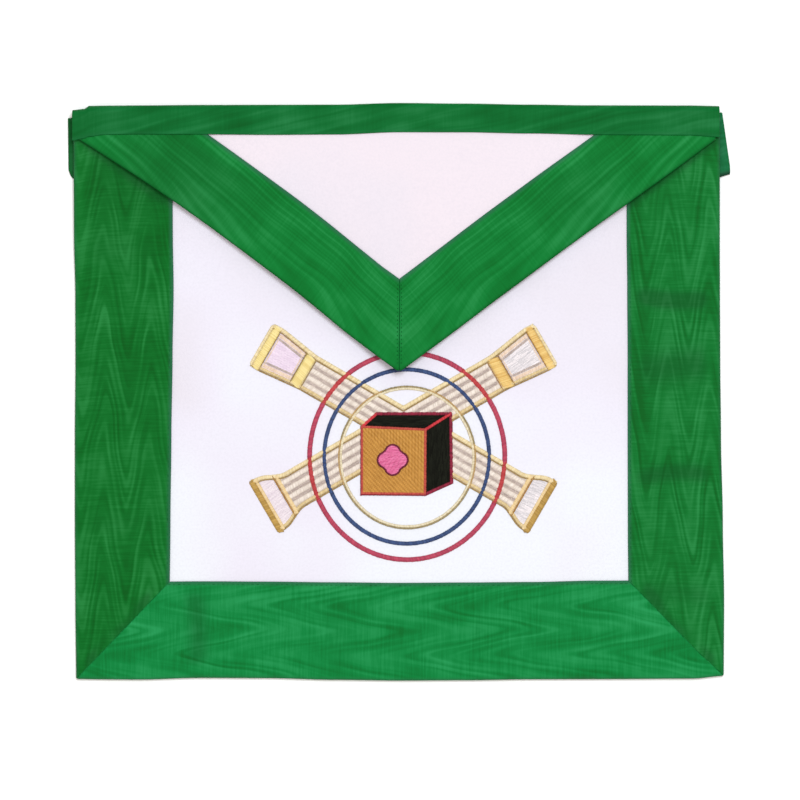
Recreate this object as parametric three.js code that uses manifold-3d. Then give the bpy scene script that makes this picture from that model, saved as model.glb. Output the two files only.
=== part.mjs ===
// A lodge apron lying on a table, front up: a white panel edged with wide moire ribbon, a
// pointed flap, a waistband folded over the top edge, and a belt that folds behind the panel.
// Millimetres. X runs across the apron, Y towards its waistband, Z up from the table.
import * as THREE from "three";
import { mergeVertices } from "three/addons/utils/BufferGeometryUtils.js";
import Module from "manifold-3d";

const wasm = await Module();
wasm.setup();

// Overall sizes
const apronWidth = 400;
const apronHeight = 356;

// Cloth and the space left between two layers
const panelThickness = 1.6;
const flapThickness = 1.0;
const ribbonThickness = 1.0;
const layerGap = 0.3;
const seamGap = 0.3;

// Ribbon round the panel, turned under all round
const borderWidth = 60;
const hemWidth = 12;
const hemEndGap = 2;
const hemStep = 2;

// Waistband folded over the top edge, a little past the panel's sides
const waistbandWidth = 18.2;
const waistbandFoldDepth = 3;
const waistbandInset = 1.5;
const waistbandNotch = 8;
const waistbandPast = { left: 0.6, right: -0.4 };

// Pointed flap, its two ribbons meeting in a seam under the tip
const flapDepth = 0.4652 * apronHeight;
const flapTipX = 1.4;
const flapShoulder = 21;
const flapSideInset = 3;
const flapRibbonWidth = 46.5;
const flapHemWidth = 8;
const flapBow = { left: 2.0, right: 0.3 };
const flapTipLift = 0.7;
const flapSlack = 0.2;
const flapLevelDepth = 38;
const flapSagHalfWidth = 110;
const flapSagLength = 50;

// Belt, folded behind the panel at both ends of the waistband
const beltWidth = 36.6;
const beltThickness = 1.0;
const beltSewnLength = 38;
const beltClearance = 1.5;
const panelRampLength = 100;
const claspWidth = 26;
const claspHeight = 42;
const claspWing = 13;
const claspThickness = 2.3;
const claspCornerRadius = 3;
const claspLead = 12;
const beltFolds = {
  left: { side: -1, reach: 3.7, drop: 8.1, lean: -0.4 },
  right: { side: 1, reach: -0.5, drop: 4.6, lean: 5.4 },
};

// Embroidery. The emblem's parts are placed and sized as shares of its width.
const emblemWidth = 0.3421 * apronHeight;
const emblemX = 5.3;
const emblemY = -0.112 * apronHeight;
const fillHeight = 0.6;
const cubeFillHeight = 0.8;
const outlineRise = 0.3;
const ringHeight = 1.5;
const ringSides = 48;
const ringOuter = { right: 0, up: 0, across: 1, tall: 1.046, thick: 0.0255 };
const ringMiddle = { right: -0.003, up: 0.001, across: 0.846, tall: 0.882, thick: 0.023 };
const ringInner = { right: -0.009, up: -0.0107, across: 0.696, tall: 0.7176, thick: 0.028 };
const columnAngle = THREE.MathUtils.degToRad(30.1);
const columnCrossX = emblemX - 0.0164 * emblemWidth;
const columnCrossY = emblemY + 0.1494 * emblemWidth;
const columnHalfLength = 0.8374 * emblemWidth;
const columnWidth = 0.1642 * emblemWidth;
const columnOutline = 0.0156 * emblemWidth;
const cubeLeft = emblemX - 0.2299 * emblemWidth;
const cubeBottom = emblemY - 0.1929 * emblemWidth;
const cubeFaceWidth = 0.3342 * emblemWidth;
const cubeFaceHeight = 0.3547 * emblemWidth;
const cubeOutline = 0.0156 * emblemWidth;
const motifSize = 0.164 * emblemWidth;
const motifOutline = 0.0123 * emblemWidth;

// Colours
const green = 0x1b7f38;
const white = 0xf1eef8;
const gold = 0xe0bd5c;
const silver = 0xd9d0dc;
const ochre = 0xc8963c;
const red = 0xd8403c;
const black = 0x1d1c18;
const pink = 0xe070a4;
const maroon = 0x6e1430;
const crimson = 0xbb3a55;
const blue = 0x35507f;
const paleGold = 0xe2cf9a;
const steel = 0xb9bcc0;

// How far each long line of the apron strays sideways, as a share of the border's width.
// up runs from the bottom edge to the top edge.
const sideStray = [
  { up: 0.0, outerLeft: 0.005, innerLeft: -0.028, innerRight: 0.05, outerRight: 0.034 },
  { up: 0.13, outerLeft: -0.003, innerLeft: -0.028, innerRight: 0.048, outerRight: 0.038 },
  { up: 0.27, outerLeft: -0.008, innerLeft: -0.02, innerRight: 0.042, outerRight: 0.025 },
  { up: 0.42, outerLeft: -0.008, innerLeft: -0.01, innerRight: 0.04, outerRight: 0.006 },
  { up: 0.56, outerLeft: -0.002, innerLeft: 0.002, innerRight: 0.04, outerRight: -0.002 },
  { up: 0.68, outerLeft: -0.004, innerLeft: 0.013, innerRight: 0.036, outerRight: -0.005 },
  { up: 0.78, outerLeft: -0.016, innerLeft: 0.006, innerRight: 0.028, outerRight: -0.008 },
  { up: 1.0, outerLeft: -0.02, innerLeft: 0.0, innerRight: 0.02, outerRight: -0.01 },
];

// How far each line across the apron strays up, as a share of the border's width.
// across runs from the left edge to the right edge.
const levelStray = [
  { across: 0.0, outerBottom: -0.002, innerBottom: 0.004, bandLower: -0.07, bandUpper: -0.055 },
  { across: 0.016, outerBottom: -0.003, innerBottom: 0.004, bandLower: -0.05, bandUpper: -0.045 },
  { across: 0.024, outerBottom: -0.004, innerBottom: 0.004, bandLower: -0.03, bandUpper: -0.013 },
  { across: 0.05, outerBottom: -0.006, innerBottom: 0.004, bandLower: -0.008, bandUpper: -0.01 },
  { across: 0.1, outerBottom: -0.008, innerBottom: 0.004, bandLower: -0.005, bandUpper: -0.008 },
  { across: 0.2, outerBottom: 0.01, innerBottom: 0.009, bandLower: -0.006, bandUpper: -0.003 },
  { across: 0.3, outerBottom: 0.007, innerBottom: 0.006, bandLower: -0.011, bandUpper: -0.001 },
  { across: 0.4, outerBottom: -0.01, innerBottom: -0.001, bandLower: -0.006, bandUpper: 0.001 },
  { across: 0.5, outerBottom: -0.018, innerBottom: -0.007, bandLower: 0.018, bandUpper: 0.018 },
  { across: 0.6, outerBottom: -0.015, innerBottom: -0.003, bandLower: 0.017, bandUpper: 0.012 },
  { across: 0.7, outerBottom: -0.005, innerBottom: 0.002, bandLower: 0.004, bandUpper: 0.001 },
  { across: 0.8, outerBottom: -0.003, innerBottom: 0.016, bandLower: -0.01, bandUpper: -0.007 },
  { across: 0.95, outerBottom: 0.002, innerBottom: 0.02, bandLower: -0.015, bandUpper: -0.009 },
  { across: 1.0, outerBottom: 0.03, innerBottom: 0.02, bandLower: -0.06, bandUpper: -0.015 },
];

// Column outlines. along is a share of the column's half length and half is half its width as
// a share of the shaft's width; the bars are where the frame is stitched across.
const capital = {
  sections: [
    { along: 0.05, half: 0.5 },
    { along: 0.7, half: 0.5 },
    { along: 0.94, half: 0.72 },
    { along: 1.0, half: 0.683 },
  ],
  innerBar: { from: 0.66, to: 0.728 },
  outerBar: { from: 0.94, to: 1.0 },
};
const base = {
  sections: [
    { along: 0.05, half: 0.5 },
    { along: 0.79, half: 0.5 },
    { along: 0.835, half: 0.59 },
    { along: 0.882, half: 0.83 },
    { along: 0.93, half: 0.875 },
    { along: 0.974, half: 0.905 },
  ],
  innerBar: { from: 0.825, to: 0.845 },
  outerBar: { from: 0.936, to: 0.974 },
};
const columnArms = {
  capital_left: { ...capital, sideX: -1, sideY: 1 },
  capital_right: { ...capital, sideX: 1, sideY: 1 },
  base_left: { ...base, sideX: -1, sideY: -1 },
  base_right: { ...base, sideX: 1, sideY: -1 },
};

// Corners of the cube as drawn, as shares of its front face's width and height
const cubeCorners = {
  frontBottomLeft: { across: 0, up: 0 },
  frontBottomRight: { across: 0.993, up: -0.013 },
  frontTopRight: { across: 1, up: 0.954 },
  frontTopLeft: { across: 0, up: 1 },
  backTopLeft: { across: 0.231, up: 1.146 },
  backTopRight: { across: 1.361, up: 1.146 },
  backBottomRight: { across: 1.373, up: 0.167 },
};

// Columns of faces over a wrapped ribbon's front, round its fold and over its hem
const ribbonColumns = { front: 4, fold: 4, hem: 2 };

// Derived places
const halfWidth = apronWidth / 2;
const halfHeight = apronHeight / 2;
const foldReach = panelThickness / 2 + layerGap + ribbonThickness;
const ribbonLayer = ribbonThickness + layerGap;
const beltLayer = beltThickness + layerGap;
const panelHalfWidth = halfWidth - foldReach;
const panelBottom = -halfHeight + foldReach;
const foldStart = halfHeight - waistbandFoldDepth - ribbonThickness;
const layersTop = foldStart - waistbandInset;
const bandLowerY = halfHeight - waistbandWidth;
const bandBackRise = 2 * beltLayer + ribbonLayer;
const rampEndY = bandLowerY - panelRampLength;
const rampStartY = halfHeight - beltFolds.left.drop - beltWidth - beltClearance;
const fieldInset = borderWidth - foldReach;
const hemRampStart = hemWidth + hemStep;
const stitchBase = panelThickness + layerGap;

const { clamp, lerp, smoothstep } = THREE.MathUtils;

// Value of one column of a table at a share of the way along, eased from row to row
function readTable(table, share, at, column) {
  const s = clamp(at, table[0][share], table.at(-1)[share]);
  const next = Math.max(1, table.findIndex((row) => row[share] >= s));
  const [low, high] = [table[next - 1], table[next]];
  return lerp(low[column], high[column], smoothstep(s, low[share], high[share]));
}

// Value at x on the line through a list of [x, value] knots
function throughKnots(x, knots) {
  const next = clamp(knots.findIndex((knot) => knot[0] >= x), 1, knots.length - 1);
  const [[x0, v0], [x1, v1]] = [knots[next - 1], knots[next]];
  return lerp(v0, v1, clamp((x - x0) / (x1 - x0), 0, 1));
}

// A point of the ideal rectangular apron, moved as the cloth strays from straight lines
function onCloth(x, y, z) {
  const up = (y + halfHeight) / apronHeight;
  const across = (x + halfWidth) / apronWidth;
  const side = (column) => borderWidth * readTable(sideStray, "up", up, column);
  const level = (column) => borderWidth * readTable(levelStray, "across", across, column);
  const dx = throughKnots(x, [
    [-halfWidth, side("outerLeft")],
    [-halfWidth + borderWidth, side("innerLeft")],
    [halfWidth - borderWidth, side("innerRight")],
    [halfWidth, side("outerRight")],
  ]);
  const dy = throughKnots(y, [
    [-halfHeight, level("outerBottom")],
    [-halfHeight + borderWidth, level("innerBottom")],
    [bandLowerY, level("bandLower")],
    [halfHeight, level("bandUpper")],
  ]);
  return new THREE.Vector3(x + dx, y + dy, z);
}

// Height of the panel's underside: it rides on the turned hems and, at the top, on the belt
function panelUnder(x, y) {
  const fromSide = panelHalfWidth - Math.abs(x);
  const fromBottom = y - panelBottom;
  const fromEdge = Math.max(0, Math.min(fromSide, fromBottom));
  const onHem = ribbonLayer * (1 - smoothstep(fromEdge, hemRampStart, fieldInset));
  const onBelt = bandBackRise * smoothstep(y, rampEndY, rampStartY);
  return onBelt + onHem * (1 - onBelt / bandBackRise);
}

const panelTop = (x, y) => panelUnder(x, y) + panelThickness;

// Height of the flap's underside: it leaves the borders at the top and sinks towards its tip
const flapStart = bandBackRise + panelThickness + layerGap + 2 * ribbonLayer;
const flapTipY = halfHeight - flapDepth;
const flapTipRise = stitchBase + ringHeight + ribbonLayer + flapTipLift;
const flapSag = 2 * ribbonLayer - flapSlack;
const flapCornerY = halfHeight - flapShoulder;
const flapSideX = halfWidth - flapSideInset;
const flapSlope = (flapCornerY - flapTipY) / flapSideX;
const ribbonRise = flapRibbonWidth * Math.hypot(1, flapSlope);
const ribbonRampEnd = (bandLowerY - flapTipY - ribbonRise) / flapSlope - waistbandInset;
const ribbonRampStart = ribbonRampEnd - waistbandWidth;

function flapUnder(x, y) {
  const down = 1 - smoothstep(y, flapTipY, halfHeight - flapLevelDepth);
  const middle = 1 - smoothstep(Math.abs(x - flapTipX), 0, flapSagHalfWidth);
  const sag = flapSag * middle * smoothstep(y, flapTipY + flapSagLength, bandLowerY);
  return lerp(flapStart, flapTipRise, down) - sag;
}

const flapTop = (x, y) => flapUnder(x, y) + flapThickness;

// Closed body between two grids of points with the same rows and columns
function closedSheet(lower, upper) {
  const rows = lower.length;
  const columns = lower[0].length;
  const points = [...lower.flat(), ...upper.flat()];
  const at = (layer, i, j) => layer * rows * columns + i * columns + j;
  const faces = [];
  const quad = (a, b, c, d) => faces.push(a, b, c, a, c, d);
  for (let i = 0; i < rows - 1; i++) {
    for (let j = 0; j < columns - 1; j++) {
      quad(at(1, i, j), at(1, i, j + 1), at(1, i + 1, j + 1), at(1, i + 1, j));
      quad(at(0, i, j), at(0, i + 1, j), at(0, i + 1, j + 1), at(0, i, j + 1));
    }
  }
  for (let i = 0; i < rows - 1; i++) {
    quad(at(0, i, 0), at(1, i, 0), at(1, i + 1, 0), at(0, i + 1, 0));
    const last = columns - 1;
    quad(at(0, i, last), at(0, i + 1, last), at(1, i + 1, last), at(1, i, last));
  }
  for (let j = 0; j < columns - 1; j++) {
    quad(at(0, 0, j), at(0, 0, j + 1), at(1, 0, j + 1), at(1, 0, j));
    const last = rows - 1;
    quad(at(0, last, j), at(1, last, j), at(1, last, j + 1), at(0, last, j + 1));
  }
  const geometry = new THREE.BufferGeometry().setFromPoints(points);
  geometry.setIndex(signedVolume(points, faces) < 0 ? faces.reverse() : faces);
  geometry.computeVertexNormals();
  return geometry;
}

function signedVolume(points, faces) {
  let six = 0;
  for (let f = 0; f < faces.length; f += 3) {
    const [a, b, c] = [points[faces[f]], points[faces[f + 1]], points[faces[f + 2]]];
    six += a.dot(new THREE.Vector3().crossVectors(b, c));
  }
  return six / 6;
}

// Evenly spaced numbers from a to b, both included
function steps(a, b, count) {
  return Array.from({ length: count + 1 }, (_, i) => lerp(a, b, i / count));
}

// Section of a ribbon wrapped round the edge of the layers that it binds. Each station gives,
// for the inner and the outer face, in (positive over the layers) and rise above their underside.
function wrappedSection(width, hem, bound) {
  const middle = bound / 2;
  const inner = middle + layerGap;
  const outer = inner + ribbonThickness;
  const flat = (distance, side) => ({
    inner: { in: distance, rise: middle + side * inner },
    outer: { in: distance, rise: middle + side * outer },
  });
  const turn = (angle) => {
    const on = (r) => ({ in: -r * Math.sin(angle), rise: middle + r * Math.cos(angle) });
    return { inner: on(inner), outer: on(outer) };
  };
  return [
    ...steps(width, 0, ribbonColumns.front).map((distance) => flat(distance, 1)),
    ...steps(0, Math.PI, ribbonColumns.fold).slice(1, -1).map(turn),
    ...steps(0, hem, ribbonColumns.hem).map((distance) => flat(distance, -1)),
  ];
}

// A wrapped ribbon laid along an edge: place(in, along) gives where a station's point lies
function wrappedRibbon(section, lengthCount, place) {
  const face = (side) =>
    steps(0, 1, lengthCount).map((along) =>
      section.map((station, j) => place(station[side], along, j)),
    );
  return closedSheet(face("inner"), face("outer"));
}

function bodyPanel() {
  const rampSteps = steps(hemRampStart, fieldInset, 4);
  const fromEdge = [0, ...rampSteps];
  const xs = [
    ...fromEdge.map((d) => -panelHalfWidth + d),
    ...steps(-halfWidth + borderWidth, halfWidth - borderWidth, 4).slice(1, -1),
    ...fromEdge.map((d) => panelHalfWidth - d).reverse(),
  ];
  const ys = [
    ...fromEdge.map((d) => panelBottom + d),
    ...steps(-halfHeight + borderWidth, rampEndY, 3).slice(1),
    ...steps(rampEndY, rampStartY, 6).slice(1),
    bandLowerY,
    layersTop,
  ];
  const grid = (height) => ys.map((y) => xs.map((x) => onCloth(x, y, height(x, y))));
  return closedSheet(grid(panelUnder), grid(panelTop));
}

// Side border: mitred at the bottom; only its upper layer runs up under the waistband
function sideBorder(side) {
  const section = wrappedSection(borderWidth - foldReach, hemWidth, panelThickness);
  const place = (point, along, column) => {
    const start = panelBottom + point.in + seamGap / 2;
    const end = column <= ribbonColumns.front ? layersTop : bandLowerY - hemEndGap;
    const y = lerp(start, end, along);
    const inside = Math.max(point.in, 0);
    const rise = point.rise + panelUnder(side * (panelHalfWidth - inside), Math.max(y, panelBottom));
    return onCloth(side * (panelHalfWidth - point.in), y, rise);
  };
  return wrappedRibbon(section, 20, place);
}

// Bottom border, mitred at both ends
function bottomBorder() {
  const section = wrappedSection(borderWidth - foldReach, hemWidth, panelThickness);
  const place = (point, along) => {
    const end = panelHalfWidth - point.in - seamGap / 2;
    const x = lerp(-end, end, along);
    const inside = Math.max(point.in, 0);
    const nearX = clamp(x, -panelHalfWidth, panelHalfWidth);
    const rise = point.rise + panelUnder(nearX, panelBottom + inside);
    return onCloth(x, panelBottom + point.in, rise);
  };
  return wrappedRibbon(section, 20, place);
}

// The flap's outer edge on one side: a frame with its origin at the tip
const flapFoldReach = flapThickness / 2 + layerGap + ribbonThickness;

function flapEdge(side) {
  const tip = new THREE.Vector2(flapTipX, flapTipY);
  const corner = new THREE.Vector2(side * flapSideX, flapCornerY);
  const run = corner.clone().sub(tip);
  const length = run.length();
  const direction = run.normalize();
  const inward = new THREE.Vector2(-side * direction.y, side * direction.x);
  const bow = side < 0 ? flapBow.left : flapBow.right;
  const point = (along, depth) => {
    const share = clamp((along - flapRibbonWidth) / (length - flapRibbonWidth), 0, 1);
    const shift = depth + bow * 4 * share * (1 - share);
    return tip.clone().addScaledVector(direction, along).addScaledVector(inward, shift);
  };
  return { point, direction, inward, length };
}

// Flap panel, in rows from the tip up
function flapPanel() {
  const left = flapEdge(-1);
  const right = flapEdge(1);
  const inset = flapFoldReach;
  const nearTip = 0.03;
  const rows = steps(nearTip, 1, 12).map((share) => ({
    from: left.point(share * left.length, inset),
    to: right.point(share * right.length, inset),
  }));
  const level = (y) => ({
    from: new THREE.Vector2(-flapSideX + inset, y),
    to: new THREE.Vector2(flapSideX - inset, y),
  });
  rows.push(level(layersTop));
  const grid = (height) =>
    rows.map(({ from, to }) =>
      steps(0, 1, 14).map((across) => {
        const x = lerp(from.x, to.x, across);
        const y = lerp(from.y, to.y, across);
        return onCloth(x, y, height(x, y));
      }),
    );
  return closedSheet(grid(flapUnder), grid(flapTop));
}

// Flap ribbon: from the seam under the tip to the waistband, wrapped round the flap's edge
function flapBorder(side) {
  const { point, direction, inward } = flapEdge(side);
  const section = wrappedSection(flapRibbonWidth - flapFoldReach, flapHemWidth, flapThickness);
  const place = (station, along) => {
    const depth = station.in + flapFoldReach;
    const seam = ((side * seamGap) / 2 - depth * inward.x) / direction.x;
    const toSide = (side * flapSideX - flapTipX - depth * inward.x) / direction.x;
    const toTop = (layersTop - flapTipY - depth * inward.y) / direction.y;
    const distance = lerp(seam, Math.min(toSide, toTop), along);
    const spot = point(distance, depth);
    const under = point(distance, Math.max(depth, flapFoldReach));
    return onCloth(spot.x, spot.y, station.rise + flapUnder(under.x, under.y));
  };
  return wrappedRibbon(section, 18, place);
}

// Waistband, folded over the top edge of every layer
function waistband() {
  const start = -halfWidth - waistbandPast.left;
  const end = halfWidth + waistbandPast.right;
  const frontUnder = (x) => {
    const overRibbon = smoothstep(Math.abs(x), ribbonRampStart, ribbonRampEnd);
    return flapTop(x, bandLowerY) + layerGap + overRibbon * ribbonLayer;
  };
  const xs = [
    ...steps(start, start + waistbandNotch, 4),
    ...steps(start + waistbandNotch, -ribbonRampEnd, 4).slice(1),
    ...steps(-ribbonRampEnd, -ribbonRampStart, 3).slice(1),
    ...steps(-ribbonRampStart, ribbonRampStart, 8).slice(1),
    ...steps(ribbonRampStart, ribbonRampEnd, 3).slice(1),
    ...steps(ribbonRampEnd, end - waistbandNotch, 4).slice(1),
    ...steps(end - waistbandNotch, end, 2).slice(1),
  ];
  const section = (x, grow) => {
    const top = frontUnder(x) + grow;
    const bottom = bandBackRise - layerGap - grow;
    const middle = (top + bottom) / 2;
    const half = (top - bottom) / 2;
    const reach = waistbandFoldDepth + grow;
    const turn = (angle) => ({
      y: foldStart + reach * Math.sin(angle),
      z: middle + half * Math.cos(angle),
    });
    return [
      ...steps(bandLowerY, foldStart, 2).map((y) => ({ y, z: top })),
      ...steps(0, Math.PI, 5).slice(1, -1).map(turn),
      ...steps(foldStart, bandLowerY, 2).map((y) => ({ y, z: bottom })),
    ];
  };
  const grid = (grow) => xs.map((x) => section(x, grow).map(({ y, z }) => onCloth(x, y, z)));
  return closedSheet(grid(0), grid(ribbonThickness));
}

// One half of the belt: from the clasp to its fold beside the panel, then back to where it is sewn
const claspY = halfHeight - (beltFolds.left.drop + beltFolds.right.drop) / 2 - beltWidth / 2;

function belt({ side, reach, drop, lean }) {
  const foldTop = new THREE.Vector2(side * (halfWidth + reach), halfHeight - drop);
  const foldBottom = new THREE.Vector2(foldTop.x + side * lean, foldTop.y - beltWidth);
  const foldLine = foldTop.clone().sub(foldBottom).normalize();
  const outboard = new THREE.Vector2(side, 0);
  const sewnWay = foldLine.clone().multiplyScalar(-2 * outboard.dot(foldLine)).add(outboard);
  const foldMiddle = beltThickness + layerGap / 2;
  const leadEnd = claspWing + claspLead;
  const line = (share, grow) => {
    const fold = foldBottom.clone().lerp(foldTop, share);
    const startY = claspY + (share - 0.5) * beltWidth;
    const start = new THREE.Vector2(side * (claspWidth / 2 + seamGap), startY);
    const run = start.distanceTo(fold);
    const radius = layerGap / 2 + grow;
    const onLine = (distance) => {
      const spot = start.clone().lerp(fold, distance / run);
      const overWing = 1 - smoothstep(distance, claspWing, leadEnd);
      return new THREE.Vector3(spot.x, spot.y, beltThickness - grow + overWing * beltLayer);
    };
    const bend = (angle) => {
      const out = side * radius * Math.sin(angle);
      return new THREE.Vector3(fold.x + out, fold.y, foldMiddle - radius * Math.cos(angle));
    };
    const sewn = (distance) => {
      const spot = fold.clone().addScaledVector(sewnWay, -distance);
      return new THREE.Vector3(spot.x, spot.y, foldMiddle + radius);
    };
    return [
      onLine(0),
      ...steps(claspWing, leadEnd, 3).map(onLine),
      ...steps(leadEnd, run, 4).slice(1).map(onLine),
      ...steps(0, Math.PI, 4).slice(1, -1).map(bend),
      ...steps(0, beltSewnLength, 2).map(sewn),
    ];
  };
  const grid = (grow) => steps(0, 1, 3).map((share) => line(share, grow));
  return closedSheet(grid(0), grid(beltThickness));
}

// Plain hook plate that joins the belt's ends: a thick middle and a thin wing under each end
function beltClasp() {
  const wings = roundedPlate(claspWidth + 2 * claspWing, beltWidth, beltThickness);
  const middle = roundedPlate(claspWidth, claspHeight, claspThickness);
  return fromSolid(toSolid(wings).add(toSolid(middle)));
}

function roundedPlate(width, height, thickness) {
  const [w, h, r] = [width / 2, height / 2, claspCornerRadius];
  const plate = new THREE.Shape();
  plate.absarc(w - r, h - r, r, 0, Math.PI / 2);
  plate.absarc(-w + r, h - r, r, Math.PI / 2, Math.PI);
  plate.absarc(-w + r, -h + r, r, Math.PI, 1.5 * Math.PI);
  plate.absarc(w - r, -h + r, r, 1.5 * Math.PI, 2 * Math.PI);
  const geometry = new THREE.ExtrudeGeometry(plate, {
    depth: thickness,
    bevelEnabled: false,
    curveSegments: 4,
  });
  return geometry.translate(0, claspY, 0);
}

// Three.js geometry to a solid, and back
function toSolid(geometry) {
  const bare = geometry.clone();
  bare.deleteAttribute("normal");
  bare.deleteAttribute("uv");
  const merged = mergeVertices(bare, 1e-4);
  return new wasm.Manifold(
    new wasm.Mesh({
      numProp: 3,
      vertProperties: new Float32Array(merged.attributes.position.array),
      triVerts: new Uint32Array(merged.index.array),
    }),
  );
}

function fromSolid(solid) {
  const mesh = solid.getMesh();
  const geometry = new THREE.BufferGeometry();
  geometry.setAttribute("position", new THREE.BufferAttribute(mesh.vertProperties, 3));
  geometry.setIndex(new THREE.BufferAttribute(mesh.triVerts, 1));
  geometry.computeVertexNormals();
  return geometry;
}

// A flat outline raised from one height to another
function raised(points, from, to) {
  const geometry = new THREE.ExtrudeGeometry(new THREE.Shape(points), {
    depth: to - from,
    bevelEnabled: false,
  });
  return toSolid(geometry.translate(0, 0, from));
}

// An outline moved inwards by a distance, or outwards if it is negative
function shrink(points, distance) {
  const turn = Math.sign(THREE.ShapeUtils.area(points));
  const inwardOf = (from, to) => {
    const way = to.clone().sub(from).normalize();
    return new THREE.Vector2(-way.y, way.x).multiplyScalar(turn);
  };
  return points.map((point, i) => {
    const before = inwardOf(points.at(i - 1), point);
    const after = inwardOf(point, points[(i + 1) % points.length]);
    const share = distance / (1 + before.dot(after));
    return point.clone().addScaledVector(before.add(after), share);
  });
}

const fillTop = stitchBase + fillHeight;
const cubeTop = stitchBase + cubeFillHeight;
const motifBase = cubeTop + layerGap;
const cutTop = 2 * (stitchBase + ringHeight);

// Outline of one arm of a column between two shares of its length, narrowed by an inset
function armOutline({ sections, sideX, sideY }, from, to, inset) {
  const inside = sections.map((row) => row.along).filter((a) => a > from && a < to);
  const stations = [from, ...inside, to];
  const half = (share) => {
    const found = sections.findIndex((row) => row.along >= share);
    const next = clamp(found, 1, sections.length - 1);
    const [low, high] = [sections[next - 1], sections[next]];
    const part = (share - low.along) / (high.along - low.along);
    return columnWidth * lerp(low.half, high.half, part) - inset;
  };
  const axis = new THREE.Vector2(sideX * Math.cos(columnAngle), sideY * Math.sin(columnAngle));
  const across = new THREE.Vector2(-axis.y, axis.x);
  const spot = (share, sign) =>
    new THREE.Vector2(columnCrossX, columnCrossY)
      .addScaledVector(axis, share * columnHalfLength)
      .addScaledVector(across, sign * half(share));
  return [...stations.map((s) => spot(s, 1)), ...stations.map((s) => spot(s, -1)).reverse()];
}

function wholeArm(arm, grow) {
  return armOutline(arm, arm.sections[0].along, arm.outerBar.to + grow / columnHalfLength, -grow);
}

// A corner of the drawn cube
function cubeCorner(name) {
  const { across, up } = cubeCorners[name];
  return new THREE.Vector2(cubeLeft + across * cubeFaceWidth, cubeBottom + up * cubeFaceHeight);
}

const cubeFaces = {
  cube_front: ["frontBottomLeft", "frontBottomRight", "frontTopRight", "frontTopLeft"],
  cube_top: ["frontTopLeft", "frontTopRight", "backTopRight", "backTopLeft"],
  cube_side: ["frontBottomRight", "backBottomRight", "backTopRight", "frontTopRight"],
};
const cubeSilhouette = [
  "frontBottomLeft",
  "frontBottomRight",
  "backBottomRight",
  "backTopRight",
  "backTopLeft",
  "frontTopLeft",
];

// What is cut from the pieces round the cube to clear it
function cubeClearance() {
  const outline = shrink(cubeSilhouette.map(cubeCorner), -cubeOutline / 2 - seamGap);
  return raised(outline, 0, cutTop);
}

// Plain four-petalled flower on the front of the cube
function quatrefoil(size) {
  const petal = size / 4;
  const centreX = cubeLeft + cubeFaceWidth / 2;
  const centreY = cubeBottom + cubeFaceHeight / 2;
  return steps(0, 3, 3).flatMap((quarter) => {
    const middle = (quarter * Math.PI) / 2;
    return steps(-0.4 * Math.PI, 0.4 * Math.PI, 4).map(
      (turn) =>
        new THREE.Vector2(
          centreX + petal * (Math.cos(middle) + Math.cos(middle + turn)),
          centreY + petal * (Math.sin(middle) + Math.sin(middle + turn)),
        ),
    );
  });
}

// Oval band, thinner where it passes over the columns
function ring({ right, up, across, tall, thick }) {
  const x = emblemX + right * emblemWidth;
  const y = emblemY + up * emblemWidth;
  const width = thick * emblemWidth;
  const oval = (grow) =>
    Array.from({ length: ringSides }, (_, i) => {
      const angle = (2 * Math.PI * i) / ringSides;
      return new THREE.Vector2(
        x + ((across * emblemWidth) / 2 + grow) * Math.cos(angle),
        y + ((tall * emblemWidth) / 2 + grow) * Math.sin(angle),
      );
    });
  const disc = raised(oval(width / 2), stitchBase, stitchBase + ringHeight);
  const band = disc.subtract(raised(oval(-width / 2), 0, cutTop)).subtract(cubeClearance());
  const under = (arm) => raised(wholeArm(arm, columnOutline / 2 + layerGap), 0, fillTop + layerGap);
  return Object.values(columnArms).reduce((left, arm) => left.subtract(under(arm)), band);
}

// One arm of a column: its gold frame, and the silver fields of its end and its shaft
function columnPieces([name, arm]) {
  const { innerBar, outerBar, sideX } = arm;
  const reach = columnHalfLength;
  const box = new THREE.BoxGeometry(2 * reach, 4 * reach, 4 * reach);
  const boxMiddle = columnCrossX + sideX * (reach + seamGap / 2);
  const ownSide = toSolid(box.translate(boxMiddle, columnCrossY, 0));
  const trim = (solid) => solid.intersect(ownSide).subtract(cubeClearance());
  const inset = columnOutline / 2;
  const gapShare = seamGap / columnHalfLength;
  const start = arm.sections[0].along;
  const opening = (from, to) => raised(armOutline(arm, from, to, inset), 0, cutTop);
  const fill = (from, to) => {
    const outline = armOutline(arm, from + gapShare, to - gapShare, inset + seamGap);
    return raised(outline, stitchBase, fillTop);
  };
  const frame = raised(wholeArm(arm, inset), stitchBase, fillTop)
    .subtract(opening(innerBar.to, outerBar.from))
    .subtract(opening(start - gapShare, innerBar.from));
  return [
    { name: `column_${name}_frame`, solid: trim(frame), colour: gold },
    { name: `column_${name}_end`, solid: fill(innerBar.to, outerBar.from), colour: silver },
    { name: `column_${name}_shaft`, solid: trim(fill(start, innerBar.from)), colour: silver },
  ];
}

// The cube: a raised red outline round an ochre front, a black top and a black side
function cubePieces() {
  const silhouette = shrink(cubeSilhouette.map(cubeCorner), -cubeOutline / 2);
  const inset = cubeOutline / 2;
  const faces = Object.entries(cubeFaces).map(([name, corners]) => {
    const outline = corners.map(cubeCorner);
    return {
      name,
      solid: raised(shrink(outline, inset + seamGap), stitchBase, cubeTop),
      colour: name === "cube_front" ? ochre : black,
      opening: raised(shrink(outline, inset), 0, cutTop),
    };
  });
  const outline = faces.reduce(
    (left, face) => left.subtract(face.opening),
    raised(silhouette, stitchBase, cubeTop + outlineRise),
  );
  return [{ name: "cube_outline", solid: outline, colour: red }, ...faces];
}

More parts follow.
